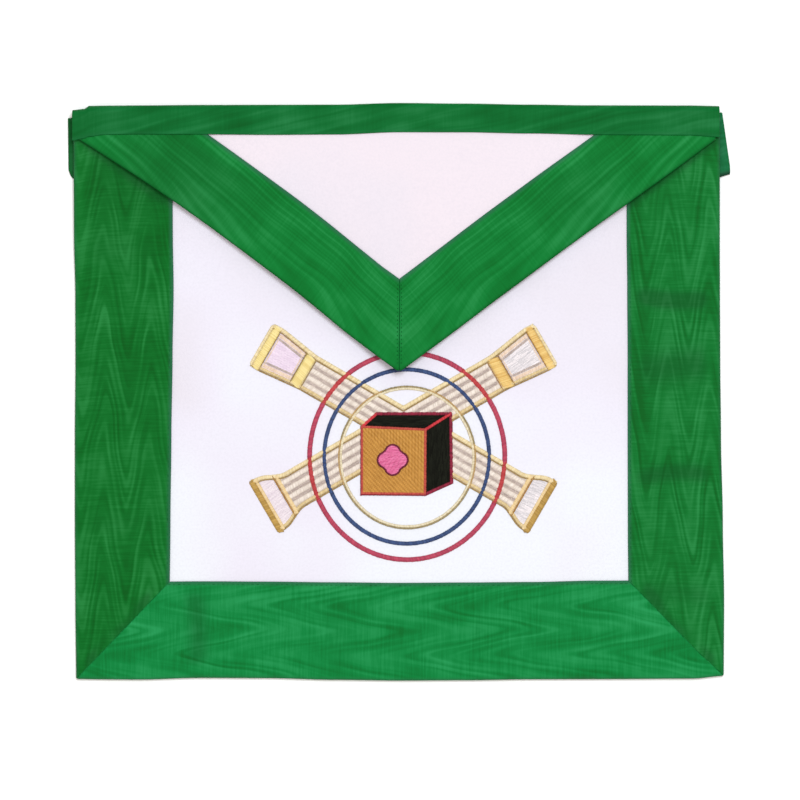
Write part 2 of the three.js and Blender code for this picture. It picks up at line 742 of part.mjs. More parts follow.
function motifPieces() {
  const top = motifBase + fillHeight;
  const flower = quatrefoil(motifSize);
  const rim = raised(flower, motifBase, top + outlineRise);
  const fill = raised(shrink(flower, motifOutline + seamGap), motifBase, top);
  const opening = raised(shrink(flower, motifOutline), 0, cutTop);
  return [
    { name: "motif_outline", solid: rim.subtract(opening), colour: maroon },
    { name: "motif_fill", solid: fill, colour: pink },
  ];
}

// Every stitched piece, with its solid and colour
function embroidery() {
  return [
    ...Object.entries(columnArms).flatMap(columnPieces),
    { name: "circle_outer", solid: ring(ringOuter), colour: crimson },
    { name: "circle_middle", solid: ring(ringMiddle), colour: blue },
    { name: "circle_inner", solid: ring(ringInner), colour: paleGold },
    ...cubePieces(),
    ...motifPieces(),
  ];
}

const apron = new THREE.Group();

function addPiece(name, geometry, colour, roughness = 0.75, metalness = 0) {
  const material = new THREE.MeshStandardMaterial({ color: colour, roughness, metalness });
  const mesh = new THREE.Mesh(geometry, material);
  mesh.name = name;
  apron.add(mesh);
}

addPiece("body_panel", bodyPanel(), white, 0.6);
addPiece("border_left", sideBorder(-1), green);
addPiece("border_right", sideBorder(1), green);
addPiece("border_bottom", bottomBorder(), green);
addPiece("flap_panel", flapPanel(), white, 0.6);
addPiece("flap_border_left", flapBorder(-1), green);
addPiece("flap_border_right", flapBorder(1), green);
addPiece("waistband", waistband(), green);
addPiece("belt_left", belt(beltFolds.left), green);
addPiece("belt_right", belt(beltFolds.right), green);
addPiece("belt_clasp", beltClasp(), steel, 0.35, 0.9);
for (const { name, solid, colour } of embroidery()) {
  addPiece(name, fromSolid(solid), colour, 0.6);
}

// The origin is the middle of the table face under the whole apron
const bounds = new THREE.Box3().setFromObject(apron);
const middle = bounds.getCenter(new THREE.Vector3());
apron.position.set(-middle.x, -middle.y, -bounds.min.z);

export default apron;
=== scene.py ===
import math

import bpy
import numpy as np
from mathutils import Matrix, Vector


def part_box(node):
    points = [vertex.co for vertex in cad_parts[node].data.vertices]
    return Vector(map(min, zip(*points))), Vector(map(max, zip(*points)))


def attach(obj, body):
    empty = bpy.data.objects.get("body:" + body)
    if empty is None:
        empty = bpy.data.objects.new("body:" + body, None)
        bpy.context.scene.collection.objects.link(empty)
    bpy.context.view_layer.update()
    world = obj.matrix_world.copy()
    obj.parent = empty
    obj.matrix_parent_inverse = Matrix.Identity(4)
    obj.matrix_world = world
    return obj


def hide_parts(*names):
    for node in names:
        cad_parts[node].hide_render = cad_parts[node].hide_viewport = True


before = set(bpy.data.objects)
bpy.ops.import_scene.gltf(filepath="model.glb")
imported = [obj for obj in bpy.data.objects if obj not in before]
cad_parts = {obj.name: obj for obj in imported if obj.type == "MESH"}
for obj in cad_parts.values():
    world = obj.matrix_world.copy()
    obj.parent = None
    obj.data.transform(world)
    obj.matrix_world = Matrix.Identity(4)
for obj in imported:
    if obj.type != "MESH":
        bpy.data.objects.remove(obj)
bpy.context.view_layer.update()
rng = np.random.default_rng(11)

# Camera: straight down on the apron, as in the photograph
CAMERA_HEIGHT, VIEW_WIDTH, SENSOR = 4.0, 0.496, 36.0
camera_data = bpy.data.cameras.new("camera")
camera = bpy.data.objects.new("camera", camera_data)
bpy.context.scene.collection.objects.link(camera)
bpy.context.scene.camera = camera
camera_data.sensor_width = SENSOR
camera_data.lens = SENSOR * CAMERA_HEIGHT / VIEW_WIDTH
camera_data.clip_end = 20
camera.location = (0.0006, -0.0049, CAMERA_HEIGHT + 0.004)
camera.rotation_euler = (0, 0, 0)

# Sizes in millimetres, in the apron's own frame before it is centred on its outline
WIDTH, HEIGHT = 400.0, 356.0
HALF_W, HALF_H = WIDTH / 2, HEIGHT / 2
BORDER, HEM, GAP = 60.0, 12.0, 0.3
PANEL, FLAP, RIBBON, BELT = 1.6, 1.0, 1.0, 1.0
BAND, BAND_FOLD, BAND_LENGTH = 18.2, 3.0, 400.2
BELT_WIDTH, BELT_SEWN, CLASP = 36.6, 38.0, 26.0
LEFT_DROP, RIGHT_DROP = 8.1, 4.6
FOLD = PANEL / 2 + GAP + RIBBON
EDGE_X, EDGE_Y = HALF_W - FOLD, -HALF_H + FOLD
FIELD = BORDER - FOLD
FOLD_Y = HALF_H - BAND_FOLD - RIBBON
TOP_Y = FOLD_Y - 1.5
BAND_Y = HALF_H - BAND
LAYER = RIBBON + GAP
BACK_RISE = 2 * (BELT + GAP) + LAYER

# The flap's edges run from its tip to its corners. At its middle it lies a little to the left
# of and below its ideal place.
FLAP_RIBBON, FLAP_HEM = 46.5, 8.0
FLAP_FOLD = FLAP / 2 + GAP + RIBBON
TIP_X, TIP_Y, TIP_ROUND = 1.4, HALF_H - 0.4652 * HEIGHT, 4.2
SIDE_X, CORNER_Y = HALF_W - 3, HALF_H - 21
SLOPE = (CORNER_Y - TIP_Y) / SIDE_X
STEEP = math.hypot(1, SLOPE)
FLAP_LEFT, FLAP_LOW = 1.9, 0.6
FLAP_START = BACK_RISE + PANEL + GAP + 2 * LAYER
TIP_RISE = PANEL + GAP + 1.5 + LAYER + 0.7

EMBLEM = 0.3421 * HEIGHT
EMBLEM_X, EMBLEM_Y = 5.3, -0.112 * HEIGHT
CLOTH_TOP = PANEL

# The CAD's outer ring shows how far the apron was moved when it was centred
ring_low, ring_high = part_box("circle_outer")
SHIFT = np.array(
    [
        (ring_low[0] + ring_high[0]) * 500 - EMBLEM_X,
        (ring_low[1] + ring_high[1]) * 500 - EMBLEM_Y,
        0.0,
    ]
)

# How far the long lines stray sideways and the level lines stray up, as shares of the border
SIDE = np.array(
    [
        # up, outer left, inner left, inner right, outer right
        (0.0, 0.005, -0.028, 0.05, 0.034),
        (0.13, -0.003, -0.028, 0.048, 0.038),
        (0.27, -0.008, -0.02, 0.042, 0.025),
        (0.42, -0.008, -0.01, 0.04, 0.006),
        (0.56, -0.002, 0.002, 0.04, -0.002),
        (0.68, -0.004, 0.013, 0.036, -0.005),
        (0.78, -0.016, 0.006, 0.028, -0.008),
        (1.0, -0.02, 0.0, 0.02, -0.01),
    ]
)
LEVEL = np.array(
    [
        # across, outer bottom, inner bottom, band's lower edge, band's upper edge
        (0.0, -0.002, 0.004, -0.07, -0.055),
        (0.016, -0.003, 0.004, -0.05, -0.045),
        (0.024, -0.004, 0.004, -0.03, -0.013),
        (0.05, -0.006, 0.004, -0.008, -0.01),
        (0.1, -0.008, 0.004, -0.005, -0.008),
        (0.2, 0.01, 0.009, -0.006, -0.003),
        (0.3, 0.007, 0.006, -0.011, -0.001),
        (0.4, -0.01, -0.001, -0.006, 0.001),
        (0.5, -0.018, -0.007, 0.018, 0.018),
        (0.6, -0.015, -0.003, 0.017, 0.012),
        (0.7, -0.005, 0.002, 0.004, 0.001),
        (0.8, -0.003, 0.016, -0.01, -0.007),
        (0.95, 0.002, 0.02, -0.015, -0.009),
        (1.0, 0.03, 0.02, -0.035, -0.015),
    ]
)


def smooth(x, low, high):
    t = np.clip((x - low) / (high - low), 0, 1)
    return t * t * (3 - 2 * t)


def mix(a, b, t):
    return a + (b - a) * t


def eased(table, column, at):
    keys, values = table[:, 0], table[:, column]
    at = np.clip(at, keys[0], keys[-1])
    i = np.clip(np.searchsorted(keys, at, side="right") - 1, 0, len(keys) - 2)
    return mix(values[i], values[i + 1], smooth(at, keys[i], keys[i + 1]))


def between(x, knots, values):
    out = values[0] + 0 * x
    for k in range(len(knots) - 1):
        t = np.clip((x - knots[k]) / (knots[k + 1] - knots[k]), 0, 1)
        out = out + (values[k + 1] - values[k]) * t
    return out


def on_cloth(x, y, ends=0.0):
    """A point of the ideal rectangular apron, moved as the cloth strays from straight lines. ends
    leaves out that share of the table at both ends, where the waistband dips to the corners."""
    up, across = (y + HALF_H) / HEIGHT, np.clip((x + HALF_W) / WIDTH, ends, 1 - ends)
    side = [BORDER * eased(SIDE, k, up) for k in (1, 2, 3, 4)]
    level = [BORDER * eased(LEVEL, k, across) for k in (1, 2, 3, 4)]
    dx = between(x, [-HALF_W, -HALF_W + BORDER, HALF_W - BORDER, HALF_W], side)
    dy = between(y, [-HALF_H, -HALF_H + BORDER, BAND_Y, HALF_H], level)
    return x + dx, y + dy


def wave(x, y, seed, size):
    """Smooth unevenness of about plus or minus one, some size millimetres across."""
    total = 0 * x
    local = np.random.default_rng(seed)
    for _ in range(7):
        angle = local.uniform(0, math.tau)
        step = size * local.uniform(0.6, 1.7)
        phase = local.uniform(0, math.tau)
        way = x * math.cos(angle) + y * math.sin(angle)
        total = total + np.sin(way * math.tau / step + phase)
    return total / 3.2


def panel_under(x, y):
    """How high the panel's underside lies: on the hems at its edges, on the belt at its top."""
    edge = np.maximum(0, np.minimum(EDGE_X - np.abs(x), y - EDGE_Y))
    on_hem = LAYER * (1 - smooth(edge, HEM + 2, FIELD))
    on_belt = BACK_RISE * smooth(y, BAND_Y - 100, HALF_H - LEFT_DROP - BELT_WIDTH - 1.5)
    return on_belt + on_hem * (1 - on_belt / BACK_RISE)


def flap_distance(x, y):
    """How far a place lies inside the flap's outer edges."""
    return (y - TIP_Y - SLOPE * np.abs(x - TIP_X)) / STEEP


def flap_lift(x, y):
    """The flap's free edge stands up a little at its tip and where it crosses the borders."""
    tip = 5.0 * (1 - smooth(np.hypot(x - TIP_X, y - TIP_Y), 0, 42))
    across = smooth(np.abs(x), 112, 140) * (1 - smooth(np.abs(x), 158, 188))
    return tip + 2.4 * across * (1 - smooth(flap_distance(x, y), 2, 18))


def flap_under(x, y):
    down = 1 - smooth(y, TIP_Y, HALF_H - 38)
    middle = 1 - smooth(np.abs(x - TIP_X), 0, 110)
    sag = (2 * LAYER - 0.2) * middle * smooth(y, TIP_Y + 50, BAND_Y)
    return mix(FLAP_START, TIP_RISE, down) - sag + flap_lift(x, y)


# Meshes


def add_mesh(name, points, faces, material, node, slot, cloth=None, shade=None):
    """A piece from points in millimetres. cloth is where each point lies on its flat ribbon, and
    how dark it is there; shade is the tone of its stitch."""
    mesh = bpy.data.meshes.new(name)
    points = (np.asarray(points, float).reshape(-1, 3) + SHIFT) * 0.001
    faces = np.asarray(faces, np.int64)
    mesh.vertices.add(len(points))
    mesh.vertices.foreach_set("co", points.astype(np.float32).ravel())
    mesh.loops.add(faces.size)
    mesh.loops.foreach_set("vertex_index", faces.astype(np.int32).ravel())
    mesh.polygons.add(len(faces))
    starts = np.arange(0, faces.size, faces.shape[1], dtype=np.int32)
    mesh.polygons.foreach_set("loop_start", starts)
    mesh.update(calc_edges=True)
    mesh.polygons.foreach_set("use_smooth", np.ones(len(faces), bool))
    for key, kind, field, values in (
        ("cloth", "FLOAT_VECTOR", "vector", cloth),
        ("shade", "FLOAT", "value", shade),
    ):
        if values is not None:
            data = mesh.attributes.new(key, kind, "POINT").data
            data.foreach_set(field, np.asarray(values, np.float32).ravel())
    mesh.validate()
    mesh.materials.append(material)
    piece = bpy.data.objects.new(name, mesh)
    bpy.context.scene.collection.objects.link(piece)
    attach(piece, "root")
    if node:
        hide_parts(node)
    return piece


def grid_faces(rows, columns, start=0, flip=False):
    i, j = np.meshgrid(np.arange(rows - 1), np.arange(columns - 1), indexing="ij")
    a = start + i * columns + j
    quad = [a, a + 1, a + columns + 1, a + columns]
    return np.stack(quad[::-1] if flip else quad, -1).reshape(-1, 4)


def closed_sheet(lower, upper):
    """Points and faces of the body between two grids of points."""
    rows, columns = lower.shape[:2]
    n = rows * columns
    faces = [grid_faces(rows, columns, n), grid_faces(rows, columns, 0, flip=True)]
    rim = np.concatenate(
        [
            np.arange(columns),
            np.arange(1, rows) * columns + columns - 1,
            (rows - 1) * columns + np.arange(columns - 2, -1, -1),
            np.arange(rows - 2, 0, -1) * columns,
        ]
    )
    after = np.roll(rim, -1)
    faces.append(np.stack([rim, after, after + n, rim + n], -1))
    points = np.concatenate([lower.reshape(-1, 3), upper.reshape(-1, 3)])
    faces = np.concatenate(faces)
    a, b, c, d = (points[faces[:, k]] for k in range(4))
    volume = (a * (np.cross(b, c) + np.cross(c, d))).sum()
    return points, faces if volume > 0 else faces[:, ::-1]


def cloth_piece(name, low, high, material, node, slot, cloth=None):
    """A sheet of cloth between two grids of points."""
    points, faces = closed_sheet(low, high)
    if cloth is not None:
        both = np.stack(np.broadcast_arrays(*cloth), -1).reshape(-1, 3)
        cloth = np.concatenate([both] * 2)
    piece = add_mesh(name, points, faces, material, node, slot, cloth)


def graded(length, near, far, step):
    """Places along a length, closer together at its rounded ends."""
    ends = [0, 0.12, 0.3, 0.5, 0.9, 1.5, 2.3]
    low = ends if near else [0]
    high = [length - e for e in ends[::-1]] if far else [length]
    count = max(2, round((high[0] - low[-1]) / step))
    return np.array(low + list(np.linspace(low[-1], high[0], count + 1)[1:-1]) + high)


def nose(distance, thick):
    """Half thickness of cloth at a distance from its rounded edge."""
    t = np.clip(distance / (thick / 2), 0, 1)
    return thick / 2 * np.sqrt(np.clip(1 - (1 - t) ** 2, 0.02, 1))


def wrapped(width, hem, bound, thick):
    """Stations across a ribbon wrapped round an edge: where the middle of the cloth runs, which
    way its outer face looks, how far it has run from the front edge, and half its thickness."""
    middle = bound / 2
    radius = middle + GAP + thick / 2
    front = graded(width, True, False, 3.0)
    angles = np.linspace(0, np.pi, 15)[1:-1]
    back = graded(hem, False, True, 4.0)
    # the fold is pressed: squarer than a half circle
    press = (np.sin(angles) ** 4 + np.cos(angles) ** 4) ** -0.25
    inward = np.concatenate([width - front, -radius * press * np.sin(angles), back])
    turn = middle + radius * press * np.cos(angles)
    rise = np.concatenate([0 * front + middle + radius, turn, 0 * back + middle - radius])
    lean_in, lean_up = -np.sin(angles) ** 3, np.cos(angles) ** 3
    size = np.hypot(lean_in, lean_up)
    out_in = np.concatenate([0 * front, lean_in / size, 0 * back])
    out_up = np.concatenate([0 * front + 1, lean_up / size, 0 * back - 1])
    run = np.concatenate([front, width + radius * angles, width + radius * np.pi + back])
    half = nose(np.minimum(run, run[-1] - run), thick)
    return inward, rise, out_in, out_up, run, half


def crease(u, v, places):
    """Soft dents across a ribbon: where each lies along it, how long it is, and how strong. The
    material darkens the cloth in them: painted shade, partly a real change of the nap.
    """
    total = 0 * v
    for at, size, depth in places:
        bent = at + 1.5 * np.sin(u / 11 + at)
        total = total + depth * np.exp(-(((v - bent) / size) ** 2))
    return total * smooth(u, 0.5, 12) * (1 - smooth(u, 46, 57))


def painted_flap_shadow(points):
    """The painted shadow that the flap's edge casts on the borders just outside it, as a dark line."""
    outside = -flap_distance(points[..., 0], points[..., 1])
    on_border = smooth(np.abs(points[..., 0]), 128, 142)
    line = np.where(outside > 0, np.exp(-((np.maximum(outside, 0) / 3.2) ** 2)), 1)
    return 1.15 * line * on_border * (outside > -12)


def ribbon(name, section, start, end, place, material, node, relief, creases, ends, under=False):
    """A wrapped ribbon. It runs from start(inward) to end(inward) along its length, and
    place(inward, rise, along) gives its points; relief(run, along) lifts the cloth off its smooth
    form, creases are soft dents across it, ends says which of its two ends are rounded, and
    under is true for a ribbon that the flap lies on."""
    # A ribbon that the flap lies on is darker along its mitre and carries the flap's painted shadow.
    inward, rise, out_in, out_up, run, half = section
    first, last = start(inward), end(inward)
    lengths = last - first
    longest = lengths.max()
    share = graded(longest, ends[0], ends[1], 3.2) / longest
    along = first[None, :] + share[:, None] * lengths[None, :]
    from_start = along - first if ends[0] else along * 0 + 9
    from_end = last - along if ends[1] else along * 0 + 9
    thick = np.minimum(half[None, :], nose(np.minimum(from_start, from_end), RIBBON))
    u = run[None, :] + 0 * along
    dent_and_shade = crease(u, along, creases)
    lift = relief(u, along) - 0.35 * dent_and_shade
    if under:
        # Darker in soft patches along the mitre.
        mitre_dark = np.exp(-(((from_start - 3) / 6) ** 2)) * smooth(u, 4, 14) * (1 - smooth(u, 50, 58))
        mitre_dark = mitre_dark * (0.6 + 0.5 * np.sin(u / 3.7) * np.sin(along / 5.3 + u / 9))
        # The flap's painted shadow on the border joins the darkness of the dents here.
        dent_and_shade = dent_and_shade + mitre_dark + painted_flap_shadow(place(inward, rise, along))

    def face(side):
        off = side * thick + lift
        return place(inward + off * out_in, rise + off * out_up, along)

    cloth_piece(
        name, face(-1), face(1), material, node, "green_moire_ribbon",
        (u, along, dent_and_shade),
    )


# Materials


class Paint:
    """A material's node tree, built from small steps."""

    def __init__(self, name):
        self.material = bpy.data.materials.new(name)
        self.material.use_nodes = True
        self.tree = self.material.node_tree
        self.shader = self.tree.nodes["Principled BSDF"]

    def put(self, socket, value):
        if isinstance(value, bpy.types.NodeSocket):
            self.tree.links.new(value, socket)
        else:
            socket.default_value = value

    def node(self, kind, inputs=(), **settings):
        node = self.tree.nodes.new("ShaderNode" + kind)
        for key, value in settings.items():
            setattr(node, key, value)
        for key, value in dict(inputs).items():
            self.put(node.inputs[key], value)
        return node

    def math(self, operation, a, b=0.0):
        return self.node("Math", {0: a, 1: b}, operation=operation).outputs[0]

    def add(self, *values):
        out = values[0]
        for value in values[1:]:
            out = self.math("ADD", out, value)
        return out

    def scaled(self, value, factor):
        return self.math("MULTIPLY", value, factor)

    def vector(self, x, y, z=0.0):
        return self.node("CombineXYZ", {0: x, 1: y, 2: z}).outputs[0]

    def mapped(self, vector, **inputs):
        return self.node("Mapping", {"Vector": vector, **inputs}).outputs[0]

    def place(self):
        return self.node("TexCoord").outputs["Object"]

    def noise(self, vector, scale=1.0, detail=2.0):
        inputs = {"Vector": vector, "Scale": scale, "Detail": detail}
        return self.node("TexNoise", inputs).outputs["Fac"]

    def range(self, value, low, high, to_low=0.0, to_high=1.0):
        inputs = {0: value, 1: low, 2: high, 3: to_low, 4: to_high}
        return self.node("MapRange", inputs, interpolation_type="SMOOTHSTEP").outputs[0]

    def blend(self, fac, a, b):
        node = self.node("Mix", data_type="RGBA")
        self.put(node.inputs[0], fac)
        self.put(node.inputs[6], a)
        self.put(node.inputs[7], b)
        return node.outputs[2]

    def ramp(self, fac, stops):
        node = self.node("ValToRGB", {0: fac})
        while len(node.color_ramp.elements) < len(stops):
            node.color_ramp.elements.new(0.5)
        for element, (place, colour) in zip(node.color_ramp.elements, stops):
            element.position = place
            element.color = colour
        return node.outputs[0]

    def bump(self, height, strength, distance, normal=None):
        inputs = {"Height": height, "Strength": strength, "Distance": distance}
        node = self.node("Bump", inputs)
        if normal is not None:
            self.put(node.inputs["Normal"], normal)
        return node.outputs[0]

    def finish(self, colour, roughness, normal=None, **uniform):
        self.put(self.shader.inputs["Base Color"], colour)
        self.put(self.shader.inputs["Roughness"], roughness)
        if normal is not None:
            self.put(self.shader.inputs["Normal"], normal)
        for key, value in uniform.items():
            self.shader.inputs[key.replace("_", " ")].default_value = value
        return self.material


# The light is this much stronger than what shows white paper as white, as in the photograph
LIGHT = 1.2


def rgb(r, g, b):
    """The linear colour that shows as this sRGB colour, 0 to 255, in that light."""
    values = [c / 255 for c in (r, g, b)]
    linear = [c / 12.92 if c <= 0.04045 else ((c + 0.055) / 1.055) ** 2.4 for c in values]
    return (*(c / LIGHT for c in linear), 1.0)


def moire(
    name, base, slope, period, peak, repeat, fold, seed, strength=1.0, rib_strength=0.6,
    selvedge=0.8, fold_tone=(50, 102, 76),
):
    """Watered ribbon: fine ribs across it, and lines that run along it in nested chevrons, each
    chevron repeat millimetres after the last, with a tip every period across the ribbon."""
    p = Paint(name)
    scaled = p.scaled
    place = p.node("Attribute", attribute_name="cloth").outputs["Vector"]
    u, v, dent_and_shade = p.node("SeparateXYZ", {0: place}).outputs

    def spread(across, along, at, shift, detail=1.0):
        spot = p.vector(scaled(u, across), scaled(at, along), seed + shift)
        return p.math("SUBTRACT", p.noise(spot, 1.0, detail), 0.5)

    bend = scaled(spread(0.0, 0.02, v, 5.0), 7.0)
    turn = scaled(p.math("SUBTRACT", p.add(u, bend), peak), math.tau / period)
    chevron = p.math("ARCSINE", scaled(p.math("COSINE", turn), 0.86))
    chevron = scaled(chevron, -slope * period / math.tau)
    along = p.add(v, chevron, scaled(spread(0.03, 0.01, v, 1.0), 5.5 * slope))
    along = p.add(along, scaled(spread(0.0, 0.02, along, 2.0), 24.0))

    def line(at, sharp):
        wave = p.math("COSINE", scaled(p.math("SUBTRACT", along, at * repeat), math.tau / repeat))
        return p.math("POWER", p.add(scaled(wave, 0.5), 0.5), sharp)

    fade = p.range(spread(0.05, 0.03, v, 9.0, 2.0), -0.14, 0.16, 0.15, 1.0)
    other_fade = p.range(spread(0.05, 0.03, v, 14.0, 2.0), -0.14, 0.16, 0.05, 0.9)
    first = p.math("SUBTRACT", line(0.0, 5.0), scaled(line(0.2, 5.0), 0.7))
    second = p.math("SUBTRACT", line(0.5, 7.0), scaled(line(0.66, 7.0), 0.6))
    drawn = p.add(scaled(first, fade), scaled(second, other_fade))
    patches = p.add(spread(0.06, 0.028, v, 3.0), spread(0.05, 0.045, along, 4.0))
    grain = spread(0.05, 0.15, along, 6.0)
    ribs = spread(0.05, 0.8, v, 7.0, 2.0)
    value = p.add(
        0.49, scaled(drawn, 0.25 * strength), scaled(patches, 0.9), scaled(grain, 0.26),
        scaled(ribs, rib_strength),
    )
    dark = tuple(c * k for c, k in zip(base, (1.0, 0.83, 0.7)))
    light = tuple(c + k for c, k in zip(base, (26, 20, 22)))
    colour = p.ramp(value, [(0.1, rgb(*dark)), (0.5, rgb(*base)), (0.95, rgb(*light))])
    # The cloth's third channel darkens it: painted shade in dents and round the belts' folds, partly a
    # real change of the nap in the dents, and the flap's painted shadow on the borders; it also
    # darkens the mitres and the waistband's ends.
    colour = p.blend(p.range(dent_and_shade, 0.05, 1.1, 0.0, 0.58), colour, rgb(8, 78, 30))
    colour = p.blend(p.range(u, 0.2, 3.4, selvedge, 0.0), colour, rgb(46, 102, 76))
    turned = p.math("ABSOLUTE", p.math("SUBTRACT", u, fold))
    colour = p.blend(p.range(turned, 0.2, 3.8, selvedge, 0.0), colour, rgb(*fold_tone))
    normal = p.bump(ribs, 0.3, 0.0004)
    normal = p.bump(p.noise(p.vector(u, v, seed), 2.2), 0.16, 0.0002, normal)
    rough = p.range(value, 0.2, 0.8, 0.66, 0.5)
    return p.finish(colour, rough, normal, Specular_IOR_Level=0.06)


def leatherette(name, tones, mark):
    """White coated cloth with a fine pebble. Its three tones drift across it, from mark, and change
    with height: painted shade, darker towards the top on the panel and towards the tip on the flap.
    """
    p = Paint(name)
    place = p.place()
    pebble = p.node("TexVoronoi", {"Vector": place, "Scale": 900.0}, feature="SMOOTH_F1")
    spots = p.noise(p.mapped(place, Location=mark), 7.0, 2.5)
    # Painted shade: the tone changes with height.
    up = p.node("SeparateXYZ", {0: place}).outputs[1]
    spots = p.add(spots, p.scaled(up, 1.5))
    tone = p.ramp(spots, list(zip((0.34, 0.5, 0.66), (rgb(*t) for t in tones))))
    grain = p.noise(place, 700.0)
    colour = p.blend(p.range(grain, 0.35, 0.75, 0.0, 0.2), tone, rgb(214, 211, 222))
    normal = p.bump(p.add(pebble.outputs["Distance"], p.scaled(grain, 0.5)), 0.08, 0.0003)
    normal = p.bump(p.noise(place, 60.0), 0.05, 0.001, normal)
    rough = p.range(grain, 0.3, 0.7, 0.5, 0.62)
    return p.finish(colour, rough, normal, Specular_IOR_Level=0.25)


def thread(name, dark, light, roughness=0.46, shine=0.3):
    """Embroidery thread: each stitch has its own shade, and fine twist along it."""
    p = Paint(name)
    shade = p.node("Attribute", attribute_name="shade").outputs["Fac"]
    place = p.place()
    patch = p.noise(place, 260.0)
    value = p.add(p.scaled(shade, 0.7), p.scaled(patch, 0.45))
    colour = p.ramp(value, [(0.12, rgb(*dark)), (0.95, rgb(*light))])
    normal = p.bump(p.noise(place, 2600.0, 1.0), 0.15, 0.0001)
    rough = p.range(patch, 0.3, 0.7, roughness, roughness + 0.12)
    return p.finish(colour, rough, normal, Specular_IOR_Level=shine)


def metal(name):
    p = Paint(name)
    brush = p.noise(p.mapped(p.place(), Scale=(40.0, 2400.0, 40.0)))
    colour = p.ramp(brush, [(0.3, rgb(176, 178, 182)), (0.7, rgb(206, 208, 211))])
    rough = p.range(brush, 0.3, 0.7, 0.28, 0.4)
    return p.finish(colour, rough, p.bump(brush, 0.08, 0.0001), Metallic=1.0)


# Body


def panel_relief(x, y):
    """Slight unevenness, none under the embroidery and none at the borders."""
    inner = smooth(np.minimum(EDGE_X - np.abs(x), y - EDGE_Y), 56, 90)
    away = np.hypot(x - EMBLEM_X, y - EMBLEM_Y)
    return wave(x, y, 5, 60) * 0.16 * inner * smooth(away, 60, 120) - 0.02


def body_panel():
    tones = [(235, 238, 245), (232, 228, 241), (226, 220, 230)]
    white = leatherette("white_leatherette", tones, (0.3, 0.1, 0.0))
    x, y = np.meshgrid(np.linspace(-EDGE_X, EDGE_X, 133), np.linspace(EDGE_Y, TOP_Y, 119))
    px, py = on_cloth(x, y)
    under = panel_under(x, y)
    low = np.stack([px, py, under], -1)
    high = np.stack([px, py, under + PANEL + panel_relief(x, y)], -1)
    cloth_piece(
        "body_panel_cloth", low, high, white, "body_panel", "white_leatherette",
    )


body_panel()
border_section = wrapped(FIELD, HEM, PANEL, RIBBON)
BORDER_TURN = BORDER - FOLD + FOLD * math.pi / 2


def ribbon_relief(seed):
    def relief(u, v):
        uneven = 0.1 * wave(u * 1.3, v, seed, 46) * smooth(u, 0.5, 9) * (1 - smooth(u, 50, 57))
        sewn = np.exp(-(((u - 1.8) / 0.55) ** 2))
        pucker = -0.12 * sewn * (1 + 0.35 * np.sin(v * math.tau / 3.1))
        return uneven + pucker - 0.03

    return relief


def mitred(inward):
    return inward + 0.05


def side_border(side, name, material, creases):
    def end(inward):
        front = border_section[1] > PANEL / 2
        return np.where(front, TOP_Y, BAND_Y - 2) - EDGE_Y

    def place(inward, rise, along):
        x, y = side * (EDGE_X - inward), EDGE_Y + along
        inside = side * (EDGE_X - np.maximum(inward, 0))
        px, py = on_cloth(x, y)
        return np.stack([px, py, rise + panel_under(inside, np.maximum(y, EDGE_Y))], -1)

    ribbon(
        f"border_{name}_ribbon", border_section, mitred, end, place, material,
        f"border_{name}", ribbon_relief(22 + side), creases, (True, False), under=True,
    )


def bottom_border(material, creases):
    def end(inward):
        return 2 * EDGE_X - inward - 0.05

    def place(inward, rise, along):
        x = along - EDGE_X
        under = panel_under(np.clip(x, -EDGE_X, EDGE_X), EDGE_Y + np.maximum(inward, 0))
        px, py = on_cloth(x, EDGE_Y + inward)
        return np.stack([px, py, rise + under], -1)

    ribbon(
        "border_bottom_ribbon", border_section, mitred, end, place, material,
        "border_bottom", ribbon_relief(24), creases, (True, True),
    )


ribbon_left = moire(
    "moire_ribbon_left", (4, 107, 35), slope=6.6, period=28.4, peak=13.6, repeat=38.0,
    fold=BORDER_TURN, seed=1.0,
)
ribbon_right = moire(
    "moire_ribbon_right", (8, 113, 43), slope=6.8, period=27.0, peak=26.0, repeat=38.0,
    fold=BORDER_TURN, seed=41.0,
)
ribbon_bottom = moire(
    "moire_ribbon_bottom", (5, 129, 60), slope=6.2, period=29.5, peak=29.8, repeat=41.0,
    fold=BORDER_TURN, seed=83.0, strength=0.75,
)
left_creases = [(96, 9, 0.3), (262, 14, 0.3), (310, 34, 0.4), (180, 16, 0.15)]
right_creases = [(124, 6.5, 1.0), (234, 6, 1.35), (192, 13, 0.8), (50, 8, 0.5)]
side_border(-1, "left", ribbon_left, left_creases)
side_border(1, "right", ribbon_right, right_creases)
bottom_border(ribbon_bottom, [(74, 8, 0.75), (245, 3.5, 0.25), (160, 14, 0.25)])

# Flap


def flap_edge(side):
    """The flap's outer edge on one side: a function for the point some way along it and some
    depth inside it, the directions of both, and its length."""
    tip = np.array([TIP_X, TIP_Y])
    run = np.array([side * SIDE_X, CORNER_Y]) - tip
    length = np.hypot(*run)
    way = run / length
    inward = np.array([-side * way[1], side * way[0]])
    bow = 2.7 if side < 0 else 0.3

    def point(along, depth):
        share = np.clip((along - FLAP_RIBBON) / (length - FLAP_RIBBON), 0, 1)
        shift = depth + bow * 4 * share * (1 - share)
        return tip[0] + along * way[0] + shift * inward[0], tip[1] + along * way[1] + shift * inward[1]

    return point, way, inward, length


def on_flap(x, y):
    """A point of the ideal flap on the real one, which lies a little to the left and lower at its
    middle and has a round tip."""
    near = np.minimum(np.abs(x - TIP_X), TIP_ROUND * SLOPE / STEEP)
    rise = TIP_ROUND * STEEP - np.sqrt(TIP_ROUND**2 - near**2) - SLOPE * near
    rise = rise * (1 - smooth(y - TIP_Y - SLOPE * np.abs(x - TIP_X), 0, 12))
    px, py = on_cloth(x, y + rise, 0.05)
    middle = np.where(x < 0, 1 - smooth(-x, 5, 45), 1 - smooth(x, 120, 188))
    return px - FLAP_LEFT * middle, py - FLAP_LOW * (1 - smooth(np.abs(x), 30, 70))


